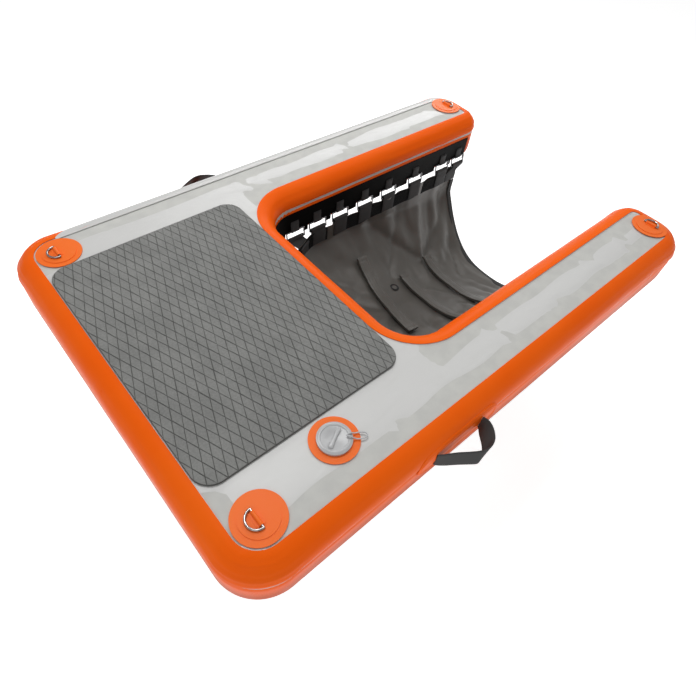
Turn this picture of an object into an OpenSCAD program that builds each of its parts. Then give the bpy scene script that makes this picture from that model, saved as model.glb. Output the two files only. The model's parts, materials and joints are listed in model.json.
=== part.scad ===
// Inflatable U-shaped swim platform: a drop-stitch air board whose two arms
// carry a hanging fabric sling between them.
// Frame: origin at the middle of the deck's underside, halfway between the back
// edge and the gap, +X towards the open ends of the arms, +Y to the left looking
// along +X, +Z up. Millimetres.

/* [Board] */
// Length of the board from the back edge to the arm tips
board_l = 1450; // [1100:10:1800]
// Width over both arms
board_w = 950; // [850:10:1200]
// Thickness of the inflated board
board_t = 152; // [130:1:200]
// Clear width between the arms
gap_w = 540; // [480:5:600]
// Length of the gap from its back wall to the arm tips
gap_l = 898; // [700:5:1000]
// Plan radius of the two back corners
back_corner_r = 95; // [80:1:110]
// Plan radius of the outer corner of each arm tip
tip_corner_r = 90; // [70:1:100]
// Plan radius of the inner corner of each arm tip
tip_inner_r = 60; // [50:1:70]
// Plan radius of the corners at the back of the gap
gap_corner_r = 90; // [70:1:110]
// Radius of the rolled upper and lower edges
roll_r = 44; // [36:1:50]

/* [Skins] */
// Thickness of the top and bottom skins
skin_t = 1.5; // [1:0.1:3]
// Thickness of the sidewall strip
wall_t = 1.5; // [1:0.1:3]
// Thickness of the overlap tape along the upper edge
tape_t = 0.8; // [0.5:0.1:0.8]
// Height of the tape's lower edge below the top face
tape_drop = 46; // [45:1:54]

/* [Deck pad] */
// Thickness of the foam pad
pad_t = 5; // [3:0.5:8]
// Corner radius of the foam pad
pad_r = 40; // [20:1:60]
// Distance from the back edge of the board to the pad
pad_inset = 46; // [46:1:52]
// Distance from the far side of the board to the pad
pad_side = 147; // [60:1:180]
// Space between the pad and the valve's patch
pad_valve_gap = 5.5; // [3:0.5:20]
// Space between the pad and the tape at the back of the gap
pad_tape_gap = 2; // [1:0.5:30]

/* [Valve] */
// Distance of the valve from the back edge of the board
valve_back = 278; // [200:1:330]
// Distance of the valve from the near side of the board
valve_side = 127; // [118:1:129]
// Radius of the valve's reinforcing patch
valve_patch_r = 47.5; // [42:0.5:50]
// Radius of the cap
cap_r = 33.2; // [32.5:0.1:36]
// Height of the cap's top above the patch
cap_h = 9; // [8:0.5:14]
// Bore radius of the valve housing
valve_bore_r = 16; // [14:0.5:17]
// Outer radius of the valve housing tube
valve_tube_r = 20; // [19:0.5:22]
// Depth of the valve housing below the top face
valve_depth = 42; // [36:1:60]
// Travel of the valve plunger
plunger_travel = 6; // [4:0.5:7]

/* [D-rings] */
// Distance of a D-ring patch from the arm tip
ring_tip = 73; // [70:1:90]
// Space between a back patch and the edge tape round its corner
ring_margin = 3.5; // [2:0.5:8]
// Radius of the cover patch
cover_r = 35.5; // [30:0.5:38]
// Centre-line radius of the D-ring's arc
dring_r = 19; // [18:0.5:24]
// Wire radius of the D-ring
dring_wire = 2.25; // [1.75:0.25:2.5]

/* [Carry handles] */
// Distance of the handle's middle from the back edge
handle_back = 493; // [440:1:700]
// Distance between the handle's ends
handle_span = 145; // [120:1:160]
// Reach of the handle loop beyond the side
handle_reach = 50; // [44:1:56]
// Width of the handle webbing
handle_w = 50; // [38:1:50]
// Height of the handle's middle above the underside
handle_z = 98; // [92:1:100]
// Length of the handle's reinforcing patch
handle_patch_l = 320; // [260:5:360]

/* [Sling] */
// Height of the upper edge of the black band
band_top = 90; // [80:1:96]
// Height of the free lower edge of the band
band_bottom = 14; // [10:1:18]
// Distances of the arm hangers from the back wall of the gap
hanger_x = [803, 723, 593, 473, 373, 273, 188, 108];
// Distances of the back wall hangers from the middle
hanger_y = [50, 140];
// Inner width of a hanger ring
ring_in_w = 56; // [54:1:58]
// Wire radius of a hanger ring
ring_wire = 2; // [1.5:0.25:2.25]
// Width of the sling's straps
strap_w = 50; // [38:1:50]
// Width of the hem webbing
hem_h = 50; // [40:1:56]
// Distance from the back wall of the gap to the hem
hem_back = 24; // [20:1:32]
// Plan radius of the hem's corners
hem_corner_r = 174; // [150:1:190]
// Distance from the arm tips to the fabric's front edge
sling_tip = 88; // [85:1:120]
// Depth of the fabric below the underside at the front edge
sling_front = 318; // [280:1:360]
// Depth of the fabric below the underside where the hem's corners start
sling_rear = 150; // [130:1:170]
// Distances of the battens from the fabric's front edge
batten_x = [223, 365, 555];
// Length of a batten along Y
batten_l = 290; // [200:5:320]

/* [Hidden] */
$fn = 64;
fit = 0.2;          // clearance between pieces that lie on each other
seat = 0.1;         // clearance under a welded or clamped piece
ply = 1.4;          // one layer of webbing
sheet_t = 2;        // sling fabric with its coating

x_gap = (board_l - gap_l) / 2;
x_back = -x_gap;
x_tip = x_gap + gap_l;
side = board_w / 2;
gap_side = gap_w / 2;
top = board_t;

valve_pos = [x_back + valve_back, -side + valve_side];
patch_t = 1;
flange_r = valve_tube_r + 11;
flange_t = 2;
flange_top = top + seat + patch_t + seat + flange_t;
plate_bottom = flange_top + 2.8;
cap_top = top + seat + patch_t + cap_h;
web_top = top - 13;
web_t = 3;
stem_r = 3;
button_top = top + 1;
button_t = 2;
seal_t = 2;
disc_t = 2.5;
disc_top = top - valve_depth - fit - seal_t - fit;
pocket_depth = valve_depth + seal_t + disc_t + plunger_travel + 5;
spring_wire = 0.6;
spring_r = 4.5;
spring_turns = 4;

base_r = back_corner_r - roll_r - ring_margin;
base_t = 1.2;
cover_t = 1.1;
tab_ply = 1.2;
tab_len = 28;
tab_foot = 8;

patch_out = roll_r + tape_t + 2 * seat;
handle_patch_t = 1.2;
handle_t = 3;
handle_neck = 15;
handle_r = (pow(handle_span / 2, 2) + pow(handle_reach, 2)) / (2 * handle_reach);

band_t = 1.5;
band_face = roll_r + fit + band_t;
notch_w = ring_in_w + 2 * ring_wire + 4;
notch_h = 17;
tab_w = 26;
bar_v = fit + ply + fit + ring_wire;
bar_top = band_bottom + notch_h + 2;
bar_drop = 26;
bar_lean = 4;
strap_t = 2 * ply;
hem_t = 2.4;
hem_v = bar_v + bar_lean + strap_t / 2 + fit;
hem_front = 20;

hang_face = gap_side - (band_face - roll_r);
back_face = x_gap + (band_face - roll_r);
hem_side = hang_face - hem_v;
hem_x = x_gap + hem_back;
hem_cx = hem_x + hem_corner_r;
hem_cy = hem_side - hem_corner_r;
sling_x = x_tip - sling_tip;

ARMS = [-1, 1];

ORANGE = [0.93, 0.38, 0.13];
GREY = [0.74, 0.74, 0.73];
BLACK = [0.08, 0.08, 0.08];
STEEL = [0.8, 0.8, 0.82];

// ---- board outline -------------------------------------------------------

// Plan of the board, drawn in by inset from its outermost line
module plan_2d(inset) {
    difference() {
        union() {
            translate([x_back + back_corner_r, -side + inset])
                square([board_l - back_corner_r - tip_corner_r, board_w - 2 * inset]);
            translate([x_back + inset, -side + back_corner_r])
                square([back_corner_r, board_w - 2 * back_corner_r]);
            translate([x_tip - tip_corner_r - 1, -side + tip_corner_r])
                square([tip_corner_r - inset + 1, board_w - 2 * tip_corner_r]);
            for (s = ARMS) {
                translate([x_back + back_corner_r, s * (side - back_corner_r)])
                    circle(back_corner_r - inset);
                translate([x_tip - tip_corner_r, s * (side - tip_corner_r)])
                    circle(tip_corner_r - inset);
            }
        }
        translate([x_gap + gap_corner_r, -gap_side - inset])
            square([gap_l, gap_w + 2 * inset]);
        translate([x_gap - inset, -gap_side + gap_corner_r])
            square([gap_corner_r + inset + 1, gap_w - 2 * gap_corner_r]);
        for (s = ARMS) {
            translate([x_gap + gap_corner_r, s * (gap_side - gap_corner_r)])
                circle(gap_corner_r + inset);
            translate([x_tip - tip_inner_r, s * gap_side])
                scale([1, s])
                    square([tip_inner_r + 1, tip_inner_r]);
        }
    }
    for (s = ARMS)
        translate([x_tip - tip_inner_r, s * (gap_side + tip_inner_r)])
            circle(tip_inner_r - inset);
}

// A 2D profile (x outwards from the roll line, y up) run straight along a wall
module run(at, facing, len) {
    translate([at[0], at[1], 0])
        rotate([90, 0, facing])
            linear_extrude(len, center = true) children();
}

// The same profile turned round a convex corner
module turn_out(at, start, radius) {
    translate([at[0], at[1], 0])
        rotate([0, 0, start])
            rotate_extrude(angle = 90) translate([radius, 0]) children();
}

// The same profile turned round a concave corner
module turn_in(at, start, radius) {
    translate([at[0], at[1], 0])
        rotate([0, 0, start])
            rotate_extrude(angle = 90) translate([radius, 0]) mirror([1, 0]) children();
}

// Side, outer corner and end wall of the arm tip on side s
module tip_route(s) {
    run([(x_back + back_corner_r + x_tip - tip_corner_r) / 2, s * (side - roll_r)],
        s * 90, board_l - back_corner_r - tip_corner_r) children();
    turn_out([x_tip - tip_corner_r, s * (side - tip_corner_r)],
        s < 0 ? -90 : 0, tip_corner_r - roll_r) children();
    run([x_tip - roll_r, s * (gap_side + tip_inner_r + side - tip_corner_r) / 2],
        0, side - tip_corner_r - gap_side - tip_inner_r) children();
}

// All round the outside, to where each arm's inner face begins
module outer_route() {
    run([x_back + roll_r, 0], 180, board_w - 2 * back_corner_r) children();
    for (s = ARMS) {
        turn_out([x_back + back_corner_r, s * (side - back_corner_r)],
            s < 0 ? 180 : 90, back_corner_r - roll_r) children();
        tip_route(s) children();
        turn_out([x_tip - tip_inner_r, s * (gap_side + tip_inner_r)],
            s < 0 ? 0 : -90, tip_inner_r - roll_r) children();
    }
}

// Round the inside of the gap
module inner_route() {
    run([x_gap - roll_r, 0], 0, gap_w - 2 * gap_corner_r) children();
    for (s = ARMS) {
        turn_in([x_gap + gap_corner_r, s * (gap_side - gap_corner_r)],
            s < 0 ? 180 : 90, gap_corner_r + roll_r) children();
        run([(x_gap + gap_corner_r + x_tip - tip_inner_r) / 2, s * (gap_side + roll_r)],
            -s * 90, gap_l - gap_corner_r - tip_inner_r) children();
    }
}

// Half of the board's rounded edge, filled, with edge radius r
module edge_2d(r) {
    intersection() {
        union() {
            translate([0, top - roll_r]) circle(r);
            translate([0, roll_r]) circle(r);
            translate([-r, roll_r]) square([2 * r, top - 2 * roll_r]);
        }
        translate([0, -roll_r]) square([2 * roll_r, top + 2 * roll_r]);
    }
}

// A layer of thickness t that lies on the rounded edge of radius r
module layer_2d(r, t, z0, z1) {
    intersection() {
        difference() {
            edge_2d(r + t);
            edge_2d(r);
        }
        translate([0, z0]) square([2 * roll_r, z1 - z0]);
    }
}

// ---- board ---------------------------------------------------------------

// The board's inside from x0 to x1, on both arms or on one
module core_part(x0, x1, y0, y1) {
    core_r = roll_r - wall_t - fit;
    low = skin_t + fit;
    color([0.9, 0.9, 0.86])
    intersection() {
        translate([x0, y0, 0]) cube([x1 - x0, y1 - y0, top]);
        union() {
            translate([0, 0, low]) linear_extrude(board_t - 2 * low) plan_2d(roll_r);
            outer_route() edge_2d(core_r);
            inner_route() edge_2d(core_r);
        }
    }
}

// The core is cut where the arms leave the corners of the gap
module deck_core() {
    difference() {
        core_part(x_back, x_gap + gap_corner_r, -side, side);
        translate([valve_pos[0], valve_pos[1], top - pocket_depth])
            cylinder(r = flange_r + 3, h = pocket_depth);
    }
}

module arm_core(s) {
    core_part(x_gap + gap_corner_r, x_tip, s < 0 ? -side : 0, s < 0 ? 0 : side);
}

module top_skin() {
    color(GREY)
    translate([0, 0, top - skin_t])
        linear_extrude(skin_t)
            difference() {
                plan_2d(roll_r);
                translate(valve_pos) circle(valve_tube_r + fit);
            }
}

module bottom_skin() {
    color(GREY) linear_extrude(skin_t) plan_2d(roll_r);
}

module outer_sidewall() {
    color(ORANGE) outer_route() layer_2d(roll_r - wall_t, wall_t, 0, top);
}

module inner_sidewall() {
    color(ORANGE) inner_route() layer_2d(roll_r - wall_t, wall_t, 0, top);
}

module outer_edge_tape() {
    color(ORANGE) outer_route() layer_2d(roll_r + seat, tape_t, top - tape_drop, top + roll_r);
}

module inner_edge_tape() {
    color(ORANGE) inner_route() layer_2d(roll_r + seat, tape_t, top - tape_drop, top + roll_r);
}

module deck_pad() {
    y0 = valve_pos[1] + valve_patch_r + pad_valve_gap;
    pad_w = side - pad_side - y0;
    pad_l = x_gap - roll_r - pad_tape_gap - x_back - pad_inset;
    color([0.38, 0.39, 0.4])
    translate([x_back + pad_inset, y0, top + seat])
        linear_extrude(pad_t) {
            translate([pad_r, 0]) square([pad_l - 2 * pad_r, pad_w]);
            translate([0, pad_r]) square([pad_l, pad_w - 2 * pad_r]);
            for (x = [pad_r, pad_l - pad_r], y = [pad_r, pad_w - pad_r])
                translate([x, y]) circle(pad_r);
        }
}

// ---- valve ---------------------------------------------------------------

module at_valve() {
    translate([valve_pos[0], valve_pos[1], 0]) children();
}

// A plain ring standing on height z
module ring(r_out, r_in, z, h) {
    translate([0, 0, z])
        difference() {
            cylinder(r = r_out, h = h);
            translate([0, 0, -1]) cylinder(r = r_in, h = h + 2);
        }
}

module valve_patch() {
    color(ORANGE) at_valve() ring(valve_patch_r, valve_tube_r + fit, top + seat, patch_t);
}

module valve_housing() {
    color([0.62, 0.63, 0.64])
    at_valve()
        difference() {
            union() {
                translate([0, 0, top - valve_depth]) cylinder(r = valve_tube_r, h = valve_depth + 2);
                translate([0, 0, flange_top - flange_t]) cylinder(r = flange_r, h = flange_t);
            }
            translate([0, 0, web_top]) cylinder(r = valve_bore_r, h = valve_depth);
            translate([0, 0, top - valve_depth - 1])
                cylinder(r = valve_bore_r, h = valve_depth + 1 - (top - web_top) - web_t);
            translate([0, 0, web_top - 2 * web_t]) cylinder(r = stem_r + seat, h = 3 * web_t);
            for (a = [0:90:270])
                rotate([0, 0, a])
                    translate([(valve_bore_r + stem_r) / 2, 0, web_top - 2 * web_t])
                        cylinder(r = 4, h = 3 * web_t);
        }
}

module valve_nut() {
    nut_t = 5;
    color([0.62, 0.63, 0.64])
    at_valve()
        difference() {
            ring(flange_r, valve_tube_r + seat, top - skin_t - seat - nut_t, nut_t);
            for (a = [0:60:300])
                rotate([0, 0, a])
                    translate([flange_r, 0, top - skin_t - 2 * nut_t]) cylinder(r = 3, h = 2 * nut_t);
        }
}

module valve_plunger() {
    color([0.85, 0.85, 0.85])
    at_valve() {
        translate([0, 0, disc_top - disc_t]) cylinder(r = valve_tube_r - 1, h = disc_t);
        translate([0, 0, disc_top - disc_t]) cylinder(r = stem_r, h = button_top - disc_top + disc_t);
        translate([0, 0, button_top - button_t]) cylinder(r = 2 * stem_r, h = button_t);
    }
}

module valve_seal() {
    color(BLACK) at_valve() ring(valve_tube_r - 1, valve_bore_r - 2, disc_top + seat, seal_t);
}

// Point and frame of the spring's wire, n steps round each turn
function coil(i, n, h) = let (a = 360 * i / n)
    [spring_r * cos(a), spring_r * sin(a), h * i / (n * spring_turns)];

module valve_spring() {
    n = 16;
    sides = 8;
    z0 = web_top + spring_wire + fit;
    h = button_top - button_t - web_top - 2 * (spring_wire + fit);
    last = n * spring_turns;
    rings = [for (i = [0:last]) let (c = coil(i, n, h), a = 360 * i / n)
        for (k = [0:sides - 1]) let (b = 360 * k / sides)
            c + spring_wire * [cos(b) * cos(a), cos(b) * sin(a), sin(b)]];
    walls = [for (i = [0:last - 1], k = [0:sides - 1]) let (m = (k + 1) % sides)
        [i * sides + k, i * sides + m, (i + 1) * sides + m, (i + 1) * sides + k]];
    ends = [[for (k = [sides - 1:-1:0]) k], [for (k = [0:sides - 1]) last * sides + k]];
    color(STEEL) at_valve() translate([0, 0, z0]) polyhedron(rings, concat(walls, ends));
}

module valve_cap() {
    plate_t = cap_top - plate_bottom - 2.5;
    bar_l = 1.35 * cap_r;
    bar_w = 9;
    color([0.66, 0.67, 0.68])
    at_valve() {
        difference() {
            union() {
                ring(cap_r, flange_r + 0.6, flange_top - flange_t + 2.2, plate_bottom - flange_top);
                translate([0, 0, plate_bottom]) cylinder(r = cap_r, h = plate_t);
            }
            for (a = [0:20:340])
                rotate([0, 0, a])
                    translate([cap_r + 1.2, 0, plate_bottom + 1]) cylinder(r = 2, h = plate_t);
        }
        ring(valve_bore_r - 0.4, valve_bore_r - 2.6, top - 8, plate_bottom - top + 8);
        translate([-bar_l / 2 + bar_w / 2, -bar_w / 2, plate_bottom]) cube([bar_l - bar_w, bar_w, cap_top - plate_bottom]);
        for (x = [-1, 1])
            translate([x * (bar_l - bar_w) / 2, 0, plate_bottom]) cylinder(d = bar_w, h = cap_top - plate_bottom);
    }
}

module cap_gasket() {
    wire = (plate_bottom - flange_top) / 2 - seat;
    color(BLACK)
    at_valve()
        translate([0, 0, flange_top + seat + wire])
            rotate_extrude() translate([flange_r - 6, 0]) circle(wire);
}

// A collar round the housing's flange with a finger loop on its free end
module cap_tether() {
    low = flange_top - flange_t + seat;
    h = 1.8;
    loop_x = cap_r + 17;
    half = 8;
    color([0.82, 0.82, 0.82])
    at_valve() rotate([0, 0, -17]) {
        ring(flange_r + 2.1, flange_r + fit, low, h);
        difference() {
            union() {
                translate([flange_r + 1, -3, low]) cube([cap_r + 3 - flange_r, 6, h]);
                for (x = [-5, 5]) translate([loop_x + x, 0, low]) cylinder(r = half + 2.5, h = h);
                translate([loop_x - 5, -half - 2.5, low]) cube([10, 2 * half + 5, h]);
            }
            for (x = [-5, 5]) translate([loop_x + x, 0, low - 1]) cylinder(r = half, h = h + 2);
            translate([loop_x - 5, -half, low - 1]) cube([10, 2 * half, h + 2]);
        }
    }
}

// ---- D-rings -------------------------------------------------------------

// Centre of a D-ring patch; end is -1 at the back and 1 at the tips
function ring_pos(end, s) =
    [end < 0 ? x_back + back_corner_r : x_tip - ring_tip, s * (side - back_corner_r)];
// Height of the patch's underside: the tip patches also cross the edge tape
function ring_floor(end) = end < 0 ? seat : tape_t + 2 * seat;

module at_ring(end, s) {
    p = ring_pos(end, s);
    translate([p[0], p[1], top + ring_floor(end)]) children();
}

module dring_base(end, s) {
    p = ring_pos(end, s);
    low = ring_floor(end);
    color(ORANGE)
    if (end < 0)
        at_ring(end, s) cylinder(r = base_r, h = base_t);
    else
        intersection() {
            translate([p[0], p[1], top - roll_r]) cylinder(r = base_r, h = 2 * roll_r);
            union() {
                translate([0, 0, top + low]) linear_extrude(base_t) plan_2d(roll_r);
                tip_route(s) layer_2d(roll_r + low, base_t, top - roll_r, top + roll_r);
            }
        }
}

// Cover patch with the welded tunnel that holds the D-ring's bar
module dring_cover(end, s) {
    r_in = dring_wire + 0.3;
    bar_z = bar_height();
    color(ORANGE * 0.97)
    at_ring(end, s) {
        translate([0, 0, base_t + seat]) cylinder(r = cover_r, h = cover_t);
        translate([end * 4, 0, 0])
            rotate([90, 0, 0])
                linear_extrude(tab_len, center = true)
                    difference() {
                        union() {
                            translate([0, bar_z]) circle(r_in + tab_ply);
                            translate([-r_in - tab_ply, base_t + seat + cover_t / 2])
                                square([2 * (r_in + tab_ply), bar_z - base_t - seat - cover_t / 2]);
                            translate([-tab_foot, base_t + seat + cover_t / 2])
                                square([2 * tab_foot, cover_t / 2 + 0.9]);
                        }
                        translate([0, bar_z]) circle(r_in);
                        translate([-r_in, base_t + seat + cover_t])
                            square([2 * r_in, bar_z - base_t - seat - cover_t]);
                    }
    }
}

// Height of the D-ring bar's centre above the patch's underside
function bar_height() = base_t + seat + cover_t + 0.3 + dring_wire;

module dring(end, s) {
    color(STEEL)
    at_ring(end, s)
        translate([end * 4, 0, bar_height()]) {
            rotate([90, 0, 0]) cylinder(r = dring_wire, h = 2 * dring_r, center = true);
            for (y = [-1, 1]) translate([0, y * dring_r, 0]) sphere(dring_wire);
            rotate([0, 0, end < 0 ? 90 : -90])
                rotate_extrude(angle = 180) translate([dring_r, 0]) circle(dring_wire);
        }
}

// ---- carry handles -------------------------------------------------------

module handle_patch(s) {
    color(ORANGE * 0.95)
    run([x_back + handle_back, s * (side - roll_r)], s * 90, handle_patch_l)
        layer_2d(patch_out, handle_patch_t, handle_z - handle_w / 2 - 7, handle_z + handle_w / 2 + 7);
}

// The whole webbing loop, standing on edge beside the board
module handle_loop(s) {
    centre_y = side + handle_reach - handle_r;
    translate([x_back + handle_back, s * centre_y, handle_z - handle_w / 2])
        ring(handle_r, handle_r - handle_t, 0, handle_w);
}

// Line on which the loop's free part swings
function handle_line() = side + handle_neck;

module handle_anchor(s) {
    face = side + tape_t + 2 * seat + handle_patch_t + fit;
    color(BLACK)
    intersection() {
        handle_loop(s);
        translate([x_back, s < 0 ? -handle_line() + fit : face, 0])
            cube([board_l, handle_line() - fit - face, 2 * board_t]);
    }
}

// The free part; its ends are cut to a V so that it can swing up and down
module handle(s) {
    far = 3 * handle_reach;
    color(BLACK)
    intersection() {
        handle_loop(s);
        translate([x_back + handle_back, s * handle_line(), handle_z])
            rotate([90, 0, 90])
                linear_extrude(board_w, center = true)
                    polygon([[0, 0], [s * far, -far], [s * far, far]]);
    }
}

// ---- sling hangers -------------------------------------------------------

// Places a hanger on the band's face: local +Y points into the gap
module on_arm(s, x) {
    translate([x_gap + x, s * hang_face, 0]) rotate([0, 0, s < 0 ? 0 : 180]) children();
}

module on_back(y) {
    translate([back_face, y, 0]) rotate([0, 0, -90]) children();
}

// The whole band; its three strips meet where the arms leave the corners
module band() {
    color(BLACK)
    difference() {
        inner_route()
            translate([roll_r + fit, band_bottom]) square([band_t, band_top - band_bottom]);
        for (s = ARMS, x = hanger_x) on_arm(s, x) band_notch();
        for (s = ARMS, y = hanger_y) on_back(s * y) band_notch();
    }
}

module band_arm(s) {
    intersection() {
        band();
        translate([x_gap + gap_corner_r, s < 0 ? -side : 0, 0]) cube([gap_l, side, top]);
    }
}

module band_back() {
    intersection() {
        band();
        translate([x_back, -side, 0]) cube([x_gap + gap_corner_r - x_back, board_w, top]);
    }
}

module band_notch() {
    translate([-notch_w / 2, -band_t - 3, band_bottom - 1]) cube([notch_w, band_t + 6, notch_h + 1]);
}

// A strip of webbing folded round a bar at [v, z]
module eye_2d(v, z, wire) {
    translate([v, z])
        difference() {
            circle(wire + fit + ply);
            circle(wire + fit);
        }
}

module hanger_tab() {
    rotate([90, 0, 90])
        linear_extrude(tab_w, center = true) {
            eye_2d(bar_v, bar_top, ring_wire);
            translate([fit, bar_top]) square([ply, 30]);
        }
}

module hanger_ring() {
    half = ring_in_w / 2 + ring_wire;
    low = [bar_v + bar_lean, bar_top - bar_drop];
    arm = norm([bar_lean, bar_drop]);
    for (p = [[bar_v, bar_top], low])
        translate([0, p[0], p[1]]) rotate([0, 90, 0]) cylinder(r = ring_wire, h = 2 * half, center = true);
    for (x = [-half, half]) {
        translate([x, low[0], low[1]])
            rotate([atan2(bar_lean, bar_drop), 0, 0]) cylinder(r = ring_wire, h = arm);
        for (p = [[bar_v, bar_top], low]) translate([x, p[0], p[1]]) sphere(ring_wire);
    }
}

// Strap with its eye on the ring's lower bar. Along a straight hem it runs
// down the hem's outer face; over a curved hem it lies across the top edge.
module sling_strap(reach, over) {
    v = bar_v + bar_lean;
    z = bar_top - bar_drop;
    eye = ring_wire + fit + ply;
    rotate([90, 0, 90])
        linear_extrude(strap_w, center = true) {
            eye_2d(v, z, ring_wire);
            if (over) {
                translate([v, z - eye]) square([reach, ply]);
            } else {
                translate([v, z - eye]) square([reach + strap_t / 2, ply]);
                translate([v + reach - strap_t / 2, -hem_h + 4])
                    square([strap_t, hem_h - 4 + z - eye + ply]);
            }
        }
}

module hanger_tabs(s) {
    color(BLACK) for (x = hanger_x) on_arm(s, x) hanger_tab();
}

module hanger_tabs_back() {
    color(BLACK) for (s = ARMS, y = hanger_y) on_back(s * y) hanger_tab();
}

module hanger_rings(s) {
    color([0.2, 0.2, 0.21]) for (x = hanger_x) on_arm(s, x) hanger_ring();
}

module hanger_rings_back() {
    color([0.2, 0.2, 0.21]) for (s = ARMS, y = hanger_y) on_back(s * y) hanger_ring();
}

// How far the hem lies from the wall's hem line, at x along an arm or y on the back
function hem_gap_x(x) = x >= hem_cx ? 0
    : hem_side - hem_cy - sqrt(pow(hem_corner_r, 2) - pow(hem_cx - x, 2));
function hem_gap_y(y) = hem_x - back_face - hem_v + (abs(y) <= hem_cy ? 0
    : hem_corner_r - sqrt(pow(hem_corner_r, 2) - pow(abs(y) - hem_cy, 2)));

module sling_straps(s) {
    color(BLACK)
    for (x = hanger_x) {
        gap = hem_gap_x(x_gap + x);
        curved = x_gap + x - strap_w / 2 < hem_cx;
        on_arm(s, x) sling_strap(curved ? gap + strap_w / 2 : 0, curved);
    }
}

module sling_straps_back() {
    color(BLACK)
    for (s = ARMS, y = hanger_y) {
        curved = y + strap_w / 2 > hem_cy;
        on_back(s * y) sling_strap(hem_gap_y(y) + (curved ? strap_w / 2 : 0), curved);
    }
}

// ---- sling ---------------------------------------------------------------

// Height of the hem's top edge, just under the straps
hem_top = bar_top - bar_drop - ring_wire - fit - ply - fit;

// Area inside the hem line, drawn in by d
module hem_2d(d) {
    length = sling_x + hem_front - hem_cx;
    translate([hem_cx, -hem_side + d]) square([length, 2 * (hem_side - d)]);
    translate([hem_x + d, -hem_cy]) square([hem_corner_r, 2 * hem_cy]);
    for (s = ARMS) translate([hem_cx, s * hem_cy]) circle(hem_corner_r - d);
}

module sling_hem() {
    color(BLACK)
    translate([0, 0, hem_top - hem_h])
        linear_extrude(hem_h)
            difference() {
                hem_2d(0);
                hem_2d(hem_t);
                translate([hem_cx, -hem_side + hem_t]) square([board_l, 2 * (hem_side - hem_t)]);
            }
}

lap = hem_t + fit;                 // fabric starts this far inside the hem line
spine_half = 5;                    // half width of the flat strip along the middle
arm_steps = 14;
corner_steps = 8;
back_steps = 4;

turn_steps = corner_steps + back_steps;
spine_run = 85;                    // length of the spine behind the hem's corners

// Stations along one half of the hem, from the tip to the middle of the back:
// [x, y, direction, share of the turn]
HALF = [for (i = [0:arm_steps])
        [sling_x + (hem_cx - sling_x) * i / arm_steps, hem_side - lap, 0, 0],
    for (i = [1:corner_steps]) let (a = 90 * i / corner_steps)
        [hem_cx - (hem_corner_r - lap) * sin(a), hem_cy + (hem_corner_r - lap) * cos(a), a,
         i / turn_steps],
    for (i = [1:back_steps])
        [hem_x + lap, hem_cy * (1 - i / back_steps), 90, (corner_steps + i) / turn_steps]];

// Depth of the fabric along the middle, and of the foot of its upright sides
function spine_z(x) = x >= hem_cx
    ? -sling_rear - (sling_front - sling_rear) * (x - hem_cx) / (sling_x - hem_cx)
    : -sling_rear + 0.6 * (hem_cx - x);
function foot_z(x) = hem_top - hem_h - 4
    - (x >= hem_cx ? 50 * (x - hem_cx) / (sling_x - hem_cx) : 0);
// Sag from the foot (t = 0) to the middle (t = 1)
function sag(t) = pow(sin(90 * t), 1.2);

T_STEPS = [0.08, 0.18, 0.3, 0.44, 0.6, 0.76, 0.88, 1];

// One rib of the fabric at station p: outer surface when up is 0, inner when 1
function rib(p, up) = let (
        spine_x = p[3] == 0 ? p[0] : hem_cx - spine_run * p[3],
        spine_y = spine_half * (1 - p[3]),
        inward = [sin(p[2]), -cos(p[2])],
        e = up * sheet_t,
        d = spine_z(spine_x),
        f = foot_z(p[0]))
    concat(
        [for (z = [hem_top - 3, (hem_top + f) / 2, f])
            [p[0] + e * inward[0], p[1] + e * inward[1], z + (z == f ? e / 2 : 0)]],
        [for (t = T_STEPS) let (slope = 1 - t)
            [p[0] + (spine_x - p[0]) * t + e * inward[0] * slope,
             p[1] + (spine_y - p[1]) * t + e * inward[1] * slope,
             f + (d - f) * sag(t) + e * (1 - 0.5 * slope)]]);

// Mirrors a rib to the near side
function flip(r) = [for (q = r) [q[0], -q[1], q[2]]];

module sling_fabric() {
    last = len(HALF) - 1;
    stations = 2 * last + 1;
    m = len(T_STEPS) + 3;
    ribs = function(up) [for (i = [0:stations - 1])
        each (i <= last ? rib(HALF[i], up) : flip(rib(HALF[2 * last - i], up)))];
    points = concat(ribs(0), ribs(1));
    shift = stations * m;
    id = function(side_up, i, k) side_up * shift + i * m + k;
    quads = [for (i = [0:stations - 2], k = [0:m - 2]) each [
        [id(0, i, k), id(0, i + 1, k), id(0, i + 1, k + 1)],
        [id(0, i, k), id(0, i + 1, k + 1), id(0, i, k + 1)],
        [id(1, i, k), id(1, i + 1, k + 1), id(1, i + 1, k)],
        [id(1, i, k), id(1, i, k + 1), id(1, i + 1, k + 1)]]];
    rim = [for (i = [0:stations - 2]) each [
        [id(0, i, 0), id(1, i, 0), id(1, i + 1, 0)],
        [id(0, i, 0), id(1, i + 1, 0), id(0, i + 1, 0)]]];
    front = [for (k = [0:m - 2]) each [
        [id(0, 0, k), id(0, 0, k + 1), id(1, 0, k + 1)],
        [id(0, 0, k), id(1, 0, k + 1), id(1, 0, k)],
        [id(0, stations - 1, k), id(1, stations - 1, k + 1), id(0, stations - 1, k + 1)],
        [id(0, stations - 1, k), id(1, stations - 1, k), id(1, stations - 1, k + 1)]]];
    e = m - 1;
    z = stations - 1;
    strip = [for (i = [0:last - 1]) each [
        [id(0, i, e), id(0, i + 1, e), id(0, z - i, e)],
        if (i < last - 1) [id(0, i + 1, e), id(0, z - i - 1, e), id(0, z - i, e)],
        [id(1, i, e), id(1, z - i, e), id(1, i + 1, e)],
        if (i < last - 1) [id(1, i + 1, e), id(1, z - i, e), id(1, z - i - 1, e)]]];
    lip = [[id(0, 0, e), id(0, z, e), id(1, z, e)], [id(0, 0, e), id(1, z, e), id(1, 0, e)]];
    color([0.12, 0.11, 0.1]) polyhedron(points, concat(quads, rim, front, strip, lip));
}

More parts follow.
